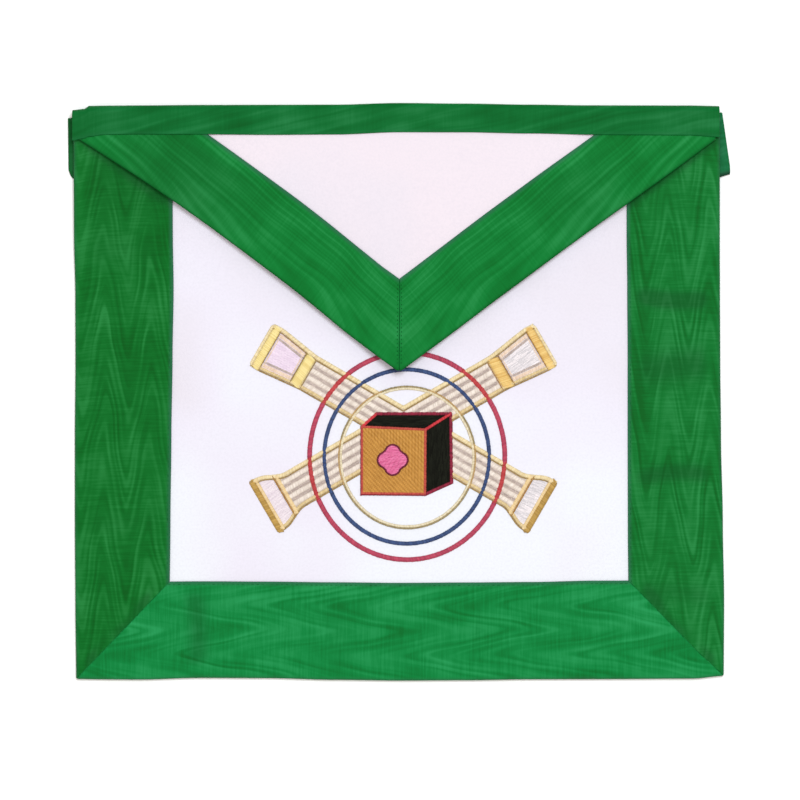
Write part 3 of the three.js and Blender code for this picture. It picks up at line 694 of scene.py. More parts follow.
def flap_sheet():
    tones = [(221, 215, 225), (228, 220, 230), (233, 222, 231)]
    white = leatherette("flap_leatherette", tones, (0.9, 0.4, 0.2))
    edges = []
    for side in (-1, 1):
        point, _, _, length = flap_edge(side)
        x, y = point(np.linspace(0.03, 1, 60) * length, FLAP_FOLD)
        edges.append([x, y])
    top = np.linspace(edges[0][1][-1], TOP_Y, 6)[1:]
    for side, edge in zip((-1, 1), edges):
        edge[0] = np.concatenate([edge[0], 0 * top + side * (SIDE_X - FLAP_FOLD)])[:, None]
        edge[1] = np.concatenate([edge[1], top])[:, None]
    across = np.linspace(0, 1, 90)[None, :]
    x, y = (mix(edges[0][k], edges[1][k], across) for k in (0, 1))
    px, py = on_flap(x, y)
    lift = np.minimum(0.12 * wave(x, y, 31, 55) - 0.04, 0.1)
    low = np.stack([px, py, flap_under(x, y)], -1)
    high = np.stack([px, py, flap_under(x, y) + FLAP + lift], -1)
    cloth_piece(
        "flap_panel_cloth", low, high, white, "flap_panel", "white_leatherette",
    )


def flap_ribbon(side, node, material, creases, seed):
    point, way, inward_way, _ = flap_edge(side)

    def start(inward):
        return (side * 0.05 - (inward + FLAP_FOLD) * inward_way[0]) / way[0]

    def end(inward):
        depth = inward + FLAP_FOLD
        to_side = (side * SIDE_X - TIP_X - depth * inward_way[0]) / way[0]
        to_top = (TOP_Y - TIP_Y - depth * inward_way[1]) / way[1]
        return np.minimum(to_side, to_top)

    def place(inward, rise, along):
        depth = inward + FLAP_FOLD
        px, py = on_flap(*point(along, depth))
        under = flap_under(*point(along, np.maximum(depth, FLAP_FOLD)))
        return np.stack([px, py, rise + under], -1)

    def relief(u, v):
        uneven = 0.1 * wave(u * 1.4, v, seed, 40) * smooth(u, 0.5, 8) * (1 - smooth(u, 36, 44))
        return uneven - 0.12 * np.exp(-(((u - 1.8) / 0.55) ** 2)) - 0.03

    section = wrapped(FLAP_RIBBON - FLAP_FOLD, FLAP_HEM, FLAP, RIBBON)
    name = node + "_ribbon"
    ribbon(name, section, start, end, place, material, node, relief, creases, (True, False))


flap_sheet()
# Its fold is darkened to fold_tone: painted shade on the ribbon's rounded outer edge.
ribbon_flap = moire(
    "moire_ribbon_flap", (5, 121, 48), slope=16.0, period=400.0, peak=-150.0, repeat=62.0,
    fold=FLAP_RIBBON - FLAP_FOLD + FLAP_FOLD * math.pi / 2, seed=127.0, strength=0.28,
    rib_strength=0.35, fold_tone=(8, 74, 28),
)
# These broad dents mostly darken the flap ribbons towards their upper ends.
flap_ribbon(-1, "flap_border_left", ribbon_flap, [(180, 62, 0.6)], 127)
flap_ribbon(1, "flap_border_right", ribbon_flap, [(155, 40, 0.42)], 171)

# Waistband


def waistband():
    material = moire(
        "moire_ribbon_band", (3, 105, 44), slope=5.0, period=120.0, peak=35.0, repeat=40.0,
        fold=BAND - RIBBON + 5.5, seed=219.0, strength=0.15, rib_strength=0.25, selvedge=0.12,
    )
    # Towards its ends it climbs over the flap's ribbons
    ramp_end = (BAND_Y - TIP_Y - FLAP_RIBBON * STEEP) / SLOPE - 1.5
    ramp_start = ramp_end - BAND
    first_x = -HALF_W - 0.6
    xs = graded(BAND_LENGTH, True, True, 2.6) + first_x
    length = FOLD_Y - BAND_Y
    front = graded(length, True, False, 1.6)
    angles = np.linspace(0, np.pi, 11)[1:-1]
    back = graded(length, False, True, 4.0)
    x = xs[:, None]
    over = smooth(np.abs(x), ramp_start, ramp_end)
    top = flap_under(x, BAND_Y + 0 * x) + FLAP + GAP + over * LAYER
    bottom = BACK_RISE - GAP
    arc = np.pi * (BAND_FOLD + 0.5)
    run = np.concatenate([front, length + arc * angles / np.pi, length + arc + back])
    half = np.minimum(
        nose(np.minimum(run, run[-1] - run), RIBBON)[None, :],
        nose(np.minimum(xs - xs[0], xs[-1] - xs), RIBBON)[:, None],
    )
    u = run[None, :] + 0 * x
    sewn = np.exp(-(((u - 1.6) / 0.5) ** 2))
    lift = 0.12 * wave(x, u, 61, 50) * smooth(u, 1, 6) - 0.12 * sewn
    lift = np.minimum(lift, 0.1) * (u < length)
    bend = slice(len(front), len(front) + len(angles))

    def face(side):
        grow = RIBBON / 2 + side * half + lift
        reach = (BAND_FOLD + grow)[:, bend] * np.sin(angles)
        level = [BAND_Y + front[None, :] + 0 * x, FOLD_Y + reach, FOLD_Y - back[None, :] + 0 * x]
        y = np.concatenate(level, 1)
        up = np.concatenate([0 * front + 1, np.cos(angles), 0 * back - 1])[None, :]
        px, py = on_cloth(x + 0 * y, y)
        return np.stack([px, py, (top + bottom) / 2 + ((top - bottom) / 2 + grow) * up], -1)

    dark_ends = 0.45 * (1 - smooth(x, -205, -110)) + 0.3 * smooth(x, 110, 190)
    cloth_piece(
        "waistband_ribbon", face(-1), face(1), material, "waistband", "green_moire_ribbon",
        (u, x - first_x, dark_ends),
    )


waistband()

# Belt


def belt(node, side, reach, drop, lean, cut, low, tone, seed):
    """Half of the belt. Its fold stands reach outside the panel and starts drop under its top,
    leans outwards by lean, is low longer than the belt is wide, and has its low corner cut off."""
    fold_top = np.array([side * (HALF_W + reach), HALF_H - drop])
    fold_low = np.array([fold_top[0] + side * lean, fold_top[1] - BELT_WIDTH - low])
    line = (fold_top - fold_low) / np.hypot(*(fold_top - fold_low))
    outboard = np.array([side, 0.0])
    sewn_way = line * (-2 * outboard @ line) + outboard
    shares = graded(BELT_WIDTH, True, True, 3.0) / BELT_WIDTH
    fold = fold_low + shares[:, None] * (fold_top - fold_low)
    fold[:, 0] -= side * cut * np.clip(1 - shares / 0.11, 0, 1)
    clasp_y = HALF_H - (LEFT_DROP + RIGHT_DROP) / 2 - BELT_WIDTH / 2
    start_y = clasp_y + (shares - 0.5) * BELT_WIDTH
    start = np.stack([0 * shares + side * (CLASP / 2 + GAP), start_y], -1)
    reach_long = np.hypot(*(fold - start).T)
    longs = np.linspace(0, 1, 70)[None, :]
    angles = np.linspace(0, np.pi, 9)[1:-1]
    shorts = np.linspace(0, BELT_SEWN, 16)[None, :]
    middle = BELT + GAP / 2
    half = nose(np.minimum(shares, 1 - shares) * BELT_WIDTH, BELT)[:, None]
    distance = longs * reach_long[:, None]

    def face(s):
        radius = GAP / 2 + BELT / 2 + s * half
        over = 1 - smooth(distance, CLASP / 2, CLASP / 2 + 12)
        spot = start[:, None, :] + (fold - start)[:, None, :] * longs[..., None]
        z = BELT / 2 - s * half + over * (BELT + GAP)
        flat = np.concatenate([spot, z[..., None]], -1)
        bend_x = fold[:, None, 0] + side * radius * np.sin(angles)[None, :]
        bend_z = middle - radius * np.cos(angles)[None, :]
        bend = np.stack([bend_x, fold[:, None, 1] + 0 * bend_x, bend_z], -1)
        back = fold[:, None, :] - sewn_way * shorts[..., None]
        back = np.concatenate([back, (middle + radius + 0 * shorts)[..., None]], -1)
        return np.concatenate([flat, bend, back], 1)

    end = reach_long[:, None]
    bend_run = end + angles[None, :] * (GAP / 2 + BELT / 2)
    run = np.concatenate([distance, bend_run, end + 2 + shorts], 1)
    # edge darkens the belt round its fold: painted shade. Its low edge turns dark in fold_tone, more
    # the lower it reaches: painted shadow of the upper layer on the lower one.
    edge = 1.1 * smooth(run, end - 2.4, end - 0.6)
    material = moire(
        node + "_moire", tone, slope=6.0, period=18.3, peak=9.0, repeat=38.0, fold=0.0, seed=seed,
        strength=0.6, rib_strength=0.3, selvedge=low / 2.6, fold_tone=(4, 34, 18),
    )
    cloth_piece(
        node + "_ribbon", face(-1), face(1), material, node, "green_moire_ribbon",
        (shares[:, None] * BELT_WIDTH, run, edge),
    )


belt("belt_left", -1, 3.7, LEFT_DROP, -0.4, 2.4, 0.8, (6, 98, 40), 263.0)
# The right half's lighter tone is in part painted light, making up for the shade it lies in.
belt("belt_right", 1, 0.0, RIGHT_DROP, 5.6, 0.8, 2.0, (24, 136, 86), 307.0)
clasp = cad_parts["belt_clasp"]
clasp.data.materials.clear()
clasp.data.materials.append(metal("clasp_metal"))

# Embroidery: each thread's dark and light tone, and for the dull ones how rough and shiny it is

TONES = {
    "olive": ((138, 110, 58), (186, 156, 98)),
    "brown": ((150, 106, 50), (196, 150, 86)),
    "straw": ((220, 198, 148), (250, 234, 192)),
    "wheat": ((208, 184, 132), (236, 214, 166)),
    "sand": ((214, 198, 162), (244, 234, 206)),
    "khaki": ((138, 122, 84), (182, 164, 120)),
    "tan": ((176, 142, 88), (212, 178, 124)),
    "honey": ((224, 194, 140), (246, 221, 172)),
    "yellow_gold": ((232, 207, 130), (252, 236, 170)),
    "amber_gold": ((218, 172, 88), (248, 218, 144)),
    "bronze_gold": ((160, 124, 56), (208, 170, 92)),
    "cream": ((222, 208, 196), (250, 240, 230)),
    "peach": ((230, 202, 178), (248, 228, 208)),
    "lilac": ((226, 206, 226), (246, 230, 244)),
    "pearl": ((224, 210, 220), (246, 236, 240)),
    "mist": ((206, 202, 206), (250, 242, 244)),
    "shadow_grey": ((170, 153, 145), (206, 189, 181)),
    "ground": ((196, 180, 168), (226, 212, 200)),
    "crimson": ((158, 52, 80), (202, 76, 102)),
    "scarlet": ((170, 46, 52), (206, 76, 78)),
    "blue": ((38, 54, 94), (66, 90, 140)),
    "coral": ((170, 58, 52), (210, 92, 76)),
    "wine": ((108, 14, 40), (160, 34, 66)),
    "rose": ((178, 36, 48), (226, 66, 74)),
    "ochre": ((172, 116, 36), (218, 162, 78)),
    "black": ((14, 14, 10), (32, 34, 26), 0.6, 0.05),
    "pink": ((214, 92, 142), (242, 134, 180)),
    "maroon": ((84, 14, 36), (122, 26, 56)),
    "seam": ((10, 92, 40), (30, 128, 66), 0.7, 0.04),
    "dark_seam": ((6, 74, 30), (14, 98, 44), 0.7, 0.04),
}
THREADS = {name: thread(f"{name}_thread", *tones) for name, tones in TONES.items()}
STRAND = np.array([-1, -0.55, 0.55, 1])


def strands(name, ends, share, offsets, z, colour, node, slot, shade):
    """Strands from the first ends to the second, each four points wide. offsets is how far those
    points lie to its side and z is how high, at each share of its length."""
    a, b = ends
    way = b - a
    length = np.maximum(np.hypot(way[:, 0], way[:, 1]), 1e-6)[:, None]
    across = np.stack([-way[:, 1], way[:, 0]], -1) / length
    spot = a[:, None, None, :] + way[:, None, None, :] * share[:, None, None]
    flat = spot + offsets[..., None] * across[:, None, None, :]
    points = np.concatenate([flat, z[..., None]], -1).reshape(-1, 3)
    size = len(share) * len(STRAND)
    one = grid_faces(len(share), len(STRAND), 0, flip=True)
    faces = (one[None] + (np.arange(len(a)) * size)[:, None, None]).reshape(-1, 4)
    add_mesh(name, points, faces, THREADS[colour], node, slot, None, np.repeat(shade, size))


def stitches(
    name, ends, top, colour, slot, node=None, arch=1.0, width=0.5, base=CLOTH_TOP, tone=None
):
    """Raised stitches between two rows of ends: each is a rounded strand that dips at its ends."""
    n = len(ends[0])
    share = np.array([0.0, 0.06, 0.22, 0.5, 0.78, 0.94, 1.0])
    rounded = np.sqrt(np.clip(1 - (2 * share - 1) ** 2, 0, 1))
    flat_top = np.clip(np.minimum(share, 1 - share) / 0.06, 0, 1) ** 0.5
    profile = mix(flat_top, rounded, arch)
    wide = 0.5 * width * np.clip(0.55 + 0.45 * profile, 0, 1)
    height = base + (CLOTH_TOP + top - base) * profile[None, :] + rng.normal(0, 0.02, (n, 1))
    drop = np.array([0.62, 0.0, 0.0, 0.62]) * width * 0.7
    z = np.maximum(height[:, :, None] - drop, base - 0.15)
    shade = rng.uniform(0, 1, n) if tone is None else tone + rng.uniform(-0.2, 0.2, n)
    strands(name, ends, share, wide[:, None] * STRAND, z, colour, node, slot, shade)


def oval_band(right, up, across, tall, thick):
    """Ends of satin stitches across an oval band."""
    pitch, slant = 0.42, 0.35
    centre = np.array([EMBLEM_X + right * EMBLEM, EMBLEM_Y + up * EMBLEM])
    radii, w = np.array([across, tall]) * EMBLEM / 2, thick * EMBLEM / 2
    n = int(math.tau * radii.sum() / 2 / pitch)
    angle = np.arange(n) / n * math.tau
    lean = slant * 2 * w / radii.sum()
    jitter = rng.normal(0, 0.06, (2, n))

    def edge(side, uneven):
        turned = angle + side * lean
        reach = radii + (side * w + uneven)[:, None]
        return centre + reach * np.stack([np.cos(turned), np.sin(turned)], -1)

    return edge(-1, jitter[0]), edge(1, jitter[1])


def satin(points, width, pitch, slant=0.25, extend=0.0):
    """Ends of satin stitches across each straight stretch of a line of points."""
    a, b = [], []
    for p, q in zip(points[:-1], points[1:]):
        p, q = np.asarray(p, float), np.asarray(q, float)
        way = (q - p) / np.hypot(*(q - p))
        p, q = p - way * extend, q + way * extend
        across = np.array([-way[1], way[0]])
        n = max(2, int(np.hypot(*(q - p)) / pitch))
        at = p + (np.arange(n) + 0.5)[:, None] / n * (q - p)
        jitter = rng.normal(0, 0.05, (2, n, 1))
        a.append(at + across * (width / 2 + jitter[0]) + way * slant)
        b.append(at - across * (width / 2 + jitter[1]) - way * slant)
    return np.concatenate(a), np.concatenate(b)


def hatch(outline, angle, pitch, stitch, overlap=0.15):
    """Ends of rows of running stitches that fill an outline, staggered from row to row."""
    outline = np.asarray(outline, float)
    way = np.array([math.cos(angle), math.sin(angle)])
    across = np.array([-way[1], way[0]])
    s, t = outline @ way, outline @ across
    a, b = [], []
    for k, row in enumerate(np.arange(t.min() + pitch / 2, t.max(), pitch)):
        cuts = []
        for i in range(len(s)):
            j = (i + 1) % len(s)
            if (t[i] <= row) != (t[j] <= row):
                cuts.append(s[i] + (row - t[i]) / (t[j] - t[i]) * (s[j] - s[i]))
        cuts.sort()
        for start, end in zip(cuts[::2], cuts[1::2]):
            first = start - stitch * ((k * 0.37) % 1.0)
            edges = np.clip(np.arange(first, end + stitch, stitch), start, end)
            for e, f in zip(edges[:-1], edges[1:]):
                if f - e > 0.25:
                    a.append(way * (e - overlap / 2) + across * row)
                    b.append(way * (f + overlap / 2) + across * row)
    return np.array(a), np.array(b)


def inside(points, outline):
    x, y = points[:, 0], points[:, 1]
    result = np.zeros(len(points), bool)
    for i in range(len(outline)):
        (x0, y0), (x1, y1) = outline[i - 1], outline[i]
        crosses = (y0 > y) != (y1 > y)
        slope = (x1 - x0) / (y1 - y0) if y1 != y0 else 0
        result ^= crosses & (x < x0 + (y - y0) * slope)
    return result


def split(ends, mask):
    return (ends[0][mask], ends[1][mask]), (ends[0][~mask], ends[1][~mask])


def together(parts):
    return np.concatenate([p[0] for p in parts]), np.concatenate([p[1] for p in parts])


# The columns: along and half give an arm's outline, as shares of its length and of the shaft's
# width, to the middle of the gold frame. inner and outer are its bars, and sink is how far the
# shaft lies below the line through the cross.
ANGLE = math.radians(30.1)
CROSS = np.array([EMBLEM_X - 0.0164 * EMBLEM, EMBLEM_Y + 0.1494 * EMBLEM])
LENGTH, SHAFT = 0.8374 * EMBLEM, 0.1642 * EMBLEM
HALF_FRAME = 0.0156 * EMBLEM
CAPITAL = {
    "along": [0.05, 0.67, 0.94, 1.006],
    "half": [0.515, 0.515, 0.69, 0.665],
    "inner": {-1: (0.66, 0.735), 1: (0.637, 0.716)},
    "outer": (0.935, 1.006),
    "sink": 0.6,
    "field": {-1: "lilac", 1: "mist"},
}
BASE = {
    "along": [0.05, 0.785, 0.823, 0.863, 0.902, 0.974],
    "half": [0.54, 0.54, 0.63, 0.725, 0.825, 0.85],
    "inner": {-1: (0.825, 0.845), 1: (0.825, 0.845)},
    "outer": (0.936, 0.974),
    "sink": -0.2,
    "field": {-1: "pearl", 1: "mist"},
}
# The bars' golds differ from arm to arm by how the light falls on their satin: painted light and
# shade.
ARMS = (
    ("capital_left", CAPITAL, -1, 1, "yellow_gold", "olive"),
    ("capital_right", CAPITAL, 1, 1, "amber_gold", "brown"),
    ("base_left", BASE, -1, -1, "bronze_gold", "brown"),
    ("base_right", BASE, 1, -1, "bronze_gold", "brown"),
)

# The cube's corners, as seen: its front, then its back
CUBE_X, CUBE_Y = EMBLEM_X - 0.2299 * EMBLEM, EMBLEM_Y - 0.1929 * EMBLEM
CUBE_W, CUBE_H = 0.3342 * EMBLEM, 0.3547 * EMBLEM


def cube_point(across, up):
    return np.array([CUBE_X + across * CUBE_W, CUBE_Y + up * CUBE_H])


FBL, FBR = cube_point(0.006, 0.004), cube_point(0.967, -0.004)
FTR, FTL = cube_point(0.974, 0.926), cube_point(0.006, 0.967)
BTL, BTR, BBR = cube_point(0.231, 1.155), cube_point(1.361, 1.155), cube_point(1.373, 0.167)
SILHOUETTE = np.array([FBL, FBR, BBR, BTR, BTL, FTL])

# The light of the photograph comes from above and a little from the right, so each raised gold
# line has its darker thread on its other side
# The darker threads on the shaded side of each gold line are painted shade.
SHADE_WAY = np.array([-0.35, -0.94])


def arm_ways(side_x, side_y):
    axis = np.array([side_x * math.cos(ANGLE), side_y * math.sin(ANGLE)])
    return axis, np.array([-axis[1], axis[0]])


def arm_outline(kind, side_x, side_y):
    axis, across = arm_ways(side_x, side_y)
    half = np.array(kind["half"]) * SHAFT + HALF_FRAME
    spots = CROSS + axis * np.array(kind["along"])[:, None] * LENGTH
    return np.concatenate([spots + across * half[:, None], (spots - across * half[:, None])[::-1]])


def rounded(ends, axis, radius):
    """Shortens the stitches of a bar at its two ends, so its far corners are round."""
    a, b = ends
    middle = (a + b) / 2
    run = (middle - middle[0]) @ (middle[-1] - middle[0]) / np.hypot(*(middle[-1] - middle[0]))
    near = np.clip(radius - np.minimum(run, run[-1] - run), 0, radius)
    cut = (radius - np.sqrt(radius**2 - near**2))[:, None] * axis
    a_far = ((a - b) @ axis > 0)[:, None]
    return np.where(a_far, a - cut, a), np.where(a_far, b, b - cut)


def arm(name, kind, side_x, side_y, bar, bar_edge):
    axis, across = arm_ways(side_x, side_y)
    way = math.atan2(axis[1], axis[0])
    bar_start, bar_end = kind["inner"][side_x]
    outer_start, last = kind["outer"]
    lit = 1 if across @ SHADE_WAY < 0 else -1
    part = f"column_{name}"
    capital = kind is CAPITAL

    def spot(share, portion, extra=0.0):
        """A point at a share of the arm's length and a portion of its half width, plus mm."""
        near = share + np.linspace(-0.022, 0.022, 9)
        wide = np.interp(near, kind["along"], kind["half"]).mean() * SHAFT + HALF_FRAME
        sink = -lit * kind["sink"] * (1 - smooth(share, 0.66, 0.94))
        return CROSS + axis * share * LENGTH + across * (wide * portion + extra + sink)

    def side_line(side, inset, stops):
        return [spot(s, side, -side * inset) for s in stops]

    def framed(inset, stops):
        return side_line(1, inset, stops) + side_line(-1, inset, stops[::-1])

    def crosswise(share, lit_trim, dark_trim):
        """The two ends of a bar across the arm, cut short on its lit and on its dark side."""
        return [spot(share, -lit, lit * dark_trim), spot(share, lit, -lit * lit_trim)]

    def lay(suffix, parts, top, colour, slot="gold_thread", node=None, arch=1.0, width=0.5):
        """The stitches of these parts that neither the cube nor the other arms hide."""
        ends = together(parts)
        middle = (ends[0] + ends[1]) / 2
        hidden = inside(middle, SILHOUETTE) | (side_x * (middle[:, 0] - CROSS[0]) < -0.2)
        stitches(f"{part}_{suffix}", split(ends, hidden)[1], top, colour, slot, node, arch, width)

    # Under everything, cream rows along the arm
    room = framed(1.4, [kind["along"][0], *np.linspace(0.6, bar_start + 0.02, 8)])
    shaft = [hatch(room, way, 0.55, 4.2)]
    lay("shaft_stitches", shaft, 0.3, "ground", "silver_thread", part + "_shaft", 0.2, 0.62)

    # Flutes: raised cream rows with broken grey rows between them
    step = 0.245 * SHAFT
    flutes, shades = [], []
    for k in range(4):
        offset = (k - 1.5) * step
        stops = [spot(0.05, 0, offset), spot(bar_start - 0.004, 0, offset)]
        flutes.append(satin(stops, step * 0.6, 0.46, 0.45))
    for k in range(3):
        row = [spot(s, 0, (k - 1) * step) for s in np.linspace(0.05, bar_start - 0.012, 30)]
        start, stop = np.array(row[:-1]), np.array(row[1:])
        for shift in (-0.5, 0, 0.5):
            jog = across * shift + rng.normal(0, 0.06, start.shape)
            shades.append((mix(start, stop, 0.04) + jog, mix(start, stop, 0.98) + jog))
    lay("flutes", flutes, 0.62, "cream", "silver_thread")
    lay("flute_shades", shades, 0.6, "shadow_grey", "silver_thread", None, 0.3, 0.62)

    # The field at the end
    start, stop = bar_end + 0.004, outer_start - 0.004
    stops = np.linspace(start, stop, 5)
    field = [hatch(framed(2.6, stops), way + 0.1, 0.5, 6.0)]
    tint = kind["field"][side_x]
    lay("end_stitches", field, 0.36, tint, "silver_thread", part + "_end", 0.3, 0.58)
    if capital:
        bands = [satin(side_line(s, 4.9, stops), 2.6, 0.46, 0.3) for s in (-1, 1)]
        lay("end_bands", bands, 0.66, "peach", "silver_thread", None, 0.8)
        lines = [satin(side_line(s, 7.0, stops), 1.5, 0.5, 0.5) for s in (-1, 1)]
        lay("end_shades", lines, 0.6, "shadow_grey", "silver_thread", None, 0.5)
        rims = [
            satin(crosswise(at, trim, trim), 0.9, 0.5, 0.3)
            for at, trim in ((start + 0.008, 5.3), (stop - 0.008, 4.9))
        ]
        lay("end_rims", rims, 0.6, "peach", "silver_thread", None, 0.7)

    # Gold along both sides, with its dark thread on the side away from the light: painted shade, like
    # the darker wheat gold on the side away from the light
    far = last - 1.4 / LENGTH if capital else last
    stops = [kind["along"][0], *np.linspace(kind["along"][1] - 0.04, far, 14)]
    pale = [satin(side_line(lit, 1.45, stops), 2.7, 0.42, 0.35, 0.15)]
    deep = [satin(side_line(-lit, 2.55, stops), 2.3, 0.42, 0.35, 0.15)]
    dark = [
        satin(side_line(lit, 3.15, stops), 0.8, 0.42, 0.3, 0.1),
        satin(side_line(-lit, 0.85, stops), 1.0, 0.42, 0.3, 0.1),
    ]
    lay("frame_stitches", pale, 0.85, "straw", node=part + "_frame")
    lay("frame_deep", deep, 0.85, "wheat")
    lay("frame_lines", dark, 0.9, "olive")

    # Bars across
    middle, wide = (outer_start + last) / 2 * LENGTH, (last - outer_start) * LENGTH
    inner, width = (bar_start + bar_end) / 2, (bar_end - bar_start) * LENGTH
    bars, pale_bars, edges = [], [], []
    if capital:
        bars.append(satin(crosswise((middle - 1.0) / LENGTH, 1.0, 0.6), wide - 1.8, 0.45, 0.35))
        rim = satin(crosswise(last - 1.1 / LENGTH, 0.4, 0.4), 1.9, 0.42, 0.2)
        pale_bars.append(rounded(rim, axis, 2.4))
        bars.append(satin(crosswise(inner, 2.8, 1.3), width - 0.6, 0.45, 0.8))
        for at, beside, trim in ((bar_start, 0.1, 3.2), (bar_end, -0.1, 3.2), (outer_start, 0.1, 2.4)):
            share = (at * LENGTH + beside) / LENGTH
            edges.append(satin(crosswise(share, trim, 1.6), 0.62, 0.42, 0.2))
    else:
        foot = satin(crosswise((middle + 1.1) / LENGTH, 0.0, 0.0), wide + 0.1, 0.45, 0.35)
        bars.append(rounded(foot, axis, 2.0))
        inner = inner * LENGTH
        for at, size, group in (
            (middle - 1.5, 2.2, pale_bars), (inner - 1.4, 2.8, pale_bars), (inner + 0.5, 1.1, edges)
        ):
            group.append(satin(crosswise(at / LENGTH, 0.9, 0.9), size, 0.42, 0.2))
    lay("bar_pale", pale_bars, 0.95, "straw" if capital else "honey", arch=0.85)
    lay("bars", bars, 1.0, bar, arch=0.8)
    lay("bar_edges", edges, 1.02, bar_edge)


for spec in ARMS:
    arm(*spec)

# The rings: place, size and thickness as shares of the emblem, then the thread, and the livelier
# one where a ring crosses a column. The inner ring is pale, with a thin dark line round it.
RINGS = (
    ("circle_outer", (0.003, 0, 0.994, 1.054, 0.0255), "crimson", "scarlet", "crimson_thread"),
    ("circle_middle", (0.0005, -0.002, 0.84, 0.887, 0.0215), "blue", "blue", "blue_thread"),
    ("circle_inner", (0.0025, -0.0065, 0.676, 0.7035, 0.0145), "sand", "sand", "pale_gold_thread"),
    ("circle_inner_line", (0.0025, -0.0065, 0.696, 0.7235, 0.009), "khaki", "tan", "pale_gold_thread"),
)
columns = [arm_outline(kind, side_x, side_y) for _, kind, side_x, side_y, _, _ in ARMS]
for name, shape, colour, over, slot in RINGS:
    ends = oval_band(*shape)
    middle = (ends[0] + ends[1]) / 2
    crossing = np.any([inside(middle, outline) for outline in columns], 0)
    across, clear = split(ends, crossing)
    line = name == "circle_inner_line"
    rise = 1.15 if line else 1.1
    stitches(name + "_stitches", clear, rise, colour, slot, None if line else name)
    stitches(name + "_crossing", across, rise, over, slot)


# The cube


def banded(ends, angle, period, strength):
    """How dark each row of stitches is: rows go dark and light in turn across the fill."""
    across = np.array([-math.sin(angle), math.cos(angle)])
    return 0.5 + strength * np.sin((ends[0] + ends[1]) / 2 @ across * math.tau / period)


SLANT = math.radians(-47)
front = hatch([FBL, FBR, FTR, FTL], SLANT, 0.5, 2.8)
rows = banded(front, SLANT, 2.0, 0.28)
stitches(
    "cube_front_stitches", front, 0.62, "ochre", "ochre_thread", "cube_front", 0.35, 0.6, tone=rows
)
for name, corners, angle in (
    ("cube_top", [FTL, FTR, BTR, BTL], math.radians(2)),
    ("cube_side", [FBR, BBR, BTR, FTR], math.radians(88)),
):
    fill = hatch(corners, angle, 0.44, 4.5, 0.5)
    stitches(name + "_stitches", fill, 0.55, "black", "black_thread", name, 0.3, 0.6)
LEFT, DOWN = np.array([-0.6, 0.0]), np.array([0.0, -0.6])
# The thin wine rim outside the front's left and bottom edges is painted shadow of the raised outline.
for colour, lines, node, width, top, name in (
    ("wine", [[BTL, BTR, BBR, FBR]], None, 2.3, 1.0, "wine"),
    ("rose", [[FTL, BTL], [FTR, BTR]], None, 2.2, 1.0, "rose"),
    ("coral", [[FTR, FTL, FBL - DOWN / 2, FBR - DOWN / 2, FTR]], "cube_outline", 1.9, 1.02, "coral"),
    ("wine", [[FTL + LEFT, FBL + LEFT + DOWN, FBR + DOWN]], None, 0.8, 1.05, "rim"),
):
    ends = together([satin(line, width, 0.42, 0.2, 0.5) for line in lines])
    stitches(f"cube_outline_{name}", ends, top, colour, "red_thread", node)

# The flower on its front
MOTIF, MOTIF_BASE = 0.164 * EMBLEM, CLOTH_TOP + 0.5
MOTIF_X, MOTIF_Y = CUBE_X + 0.475 * CUBE_W, CUBE_Y + 0.49 * CUBE_H


def flower(size):
    petal = size / 4
    points = []
    for quarter in range(4):
        middle = quarter * math.pi / 2
        for turn in np.linspace(-0.4 * math.pi, 0.4 * math.pi, 12):
            x = MOTIF_X + petal * (math.cos(middle) + math.cos(middle + turn))
            y = MOTIF_Y + petal * (math.sin(middle) + math.sin(middle + turn))
            points.append((x, y))
    return points


fill = hatch(flower(MOTIF - 1.6), math.radians(12), 0.46, 6.0)
stitches(
    "motif_fill_stitches", fill, 1.25, "pink", "pink_thread", "motif_fill", 0.6, 0.52, MOTIF_BASE
)
rim = flower(MOTIF - 1.4)
line = satin(rim + rim[:1], 1.45, 0.4, 0.15, 0.1)
stitches(
    "motif_outline_stitches", line, 1.4, "maroon", "maroon_thread", "motif_outline",
    base=MOTIF_BASE,
)

# Sewing: small stitches along the seams


def sew(name, start, end, height, pitch=3.0, long=2.1, half=0.22, colour="seam"):
    start, end = np.array(start, float), np.array(end, float)
    run = np.hypot(*(end - start))
    unit = (end - start) / run
    at = start + unit * (np.arange(int(run / pitch))[:, None] + 0.5) * pitch
    ends = [
        np.stack(on_cloth(spot[:, 0], spot[:, 1]), -1)
        for spot in (at - unit * long / 2, at + unit * long / 2)
    ]
    level = height(at[:, 0], at[:, 1])
    share = np.array([0.0, 0.2, 0.5, 0.8, 1.0])
    lift = np.array([-0.25, 0.08, 0.16, 0.08, -0.25])[:, None]
    dip = np.array([-0.12, 0.0, 0.0, -0.12])
    z = level[:, None, None] + lift + dip
    offsets = (STRAND * half)[None, :]
    shade = rng.uniform(0, 1, len(at))
    strands(name, ends, share, offsets, z, colour, None, "green_moire_ribbon", shade)


def ribbon_top(x, y):
    return panel_under(x, y) + PANEL + GAP + RIBBON - 0.08


def flap_top(x, y):
    return flap_under(x, y) + FLAP + GAP + RIBBON + 0.04


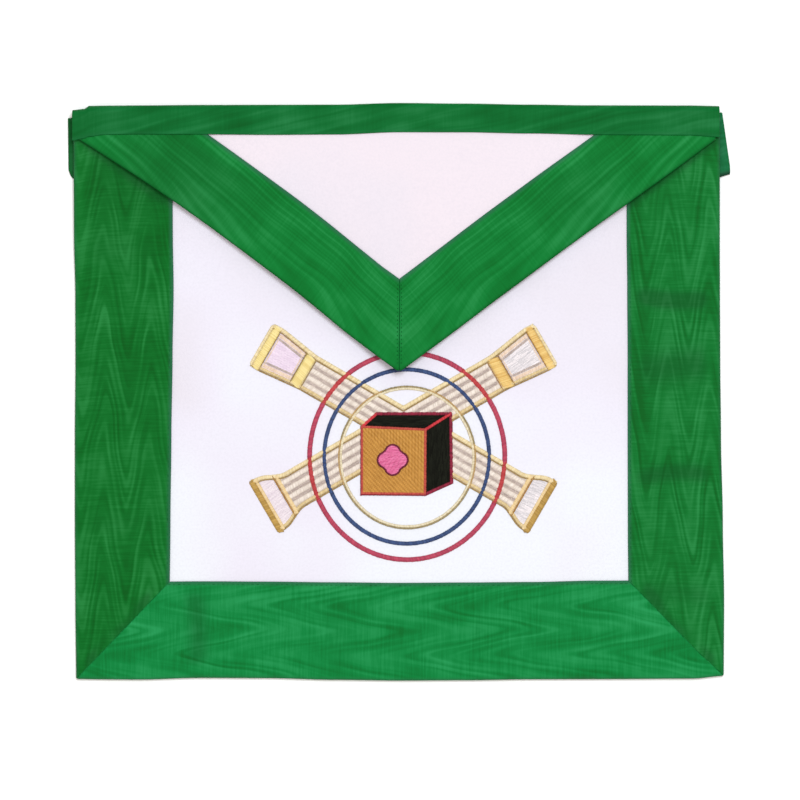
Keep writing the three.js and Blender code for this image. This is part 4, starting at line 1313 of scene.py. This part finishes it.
INSET = 1.8
SEAM_OUT, SEAM_Y, SEAM_TOP = HALF_W - BORDER + INSET, -HALF_H + BORDER - INSET, 96
sew("seam_left", (-SEAM_OUT, SEAM_Y), (-SEAM_OUT, SEAM_TOP), ribbon_top)
sew("seam_right", (SEAM_OUT, SEAM_Y), (SEAM_OUT, SEAM_TOP), ribbon_top)
sew("seam_bottom", (-SEAM_OUT, SEAM_Y), (SEAM_OUT, SEAM_Y), ribbon_top)
for side, name in ((-1, "left"), (1, "right")):
    inner = (side * (EDGE_X - FIELD + 0.8), EDGE_Y + FIELD - 0.8)
    sew(f"mitre_{name}", inner, (side * (EDGE_X - 0.8), EDGE_Y + 0.8), ribbon_top, 1.5, 1.8)
# The flap's seam and the rows beside it are real stitches, and their darker thread is also painted
# shade in the seam's groove.
seam_x, seam_top = TIP_X - FLAP_LEFT, TIP_Y + FLAP_RIBBON * STEEP - 1.0 - FLAP_LOW
seam_low = (seam_x, TIP_Y + 2.5 - FLAP_LOW)
sew("flap_seam", seam_low, (seam_x, seam_top), flap_top, 1.5, 1.8, 0.26, "dark_seam")
for side, name in ((-1, "left"), (1, "right")):
    x = seam_x + side * 1.2
    low_end, high_end = (x, TIP_Y + 4), (x, seam_top - 0.5)
    sew(f"flap_seam_{name}", low_end, high_end, flap_top, 2.4, 1.1, 0.22, "dark_seam")

# Floor and light
floor_mesh = bpy.data.meshes.new("floor")
floor_mesh.from_pydata([(-4, -4, 0), (4, -4, 0), (4, 4, 0), (-4, 4, 0)], [], [(0, 1, 2, 3)])
floor = bpy.data.objects.new("floor", floor_mesh)
bpy.context.scene.collection.objects.link(floor)
paper = Paint("floor_paper")
fibre = paper.noise(paper.place(), 400.0)
white_paper = paper.ramp(fibre, [(0.3, (0.95, 0.95, 0.95, 1)), (0.7, (0.97, 0.97, 0.97, 1))])
floor_mesh.materials.append(paper.finish(white_paper, 0.9, Specular_IOR_Level=0.0))


def lamp(name, place, size, power, colour):
    """A round lamp that shines on the middle of the apron."""
    data = bpy.data.lights.new(name, "AREA")
    data.shape = "DISK"
    data.size = size
    data.energy = power
    data.color = colour
    light = bpy.data.objects.new(name, data)
    bpy.context.scene.collection.objects.link(light)
    light.location = place
    light.rotation_euler = (-Vector(place)).to_track_quat("-Z", "Y").to_euler()


lamp("key", (0.35, 0.8, 2.7), 1.0, 50, (0.95, 1.01, 1.06))
lamp("fill", (-0.5, -0.7, 2.4), 1.8, 14, (1.03, 0.99, 0.94))
world = bpy.data.worlds.new("world")
bpy.context.scene.world = world
world.use_nodes = True
background = world.node_tree.nodes["Background"]
background.inputs[0].default_value = (1.05, 0.985, 0.93, 1)
background.inputs[1].default_value = 0.6
bpy.context.scene.view_settings.view_transform = "Standard"
bpy.context.scene.view_settings.look = "None"
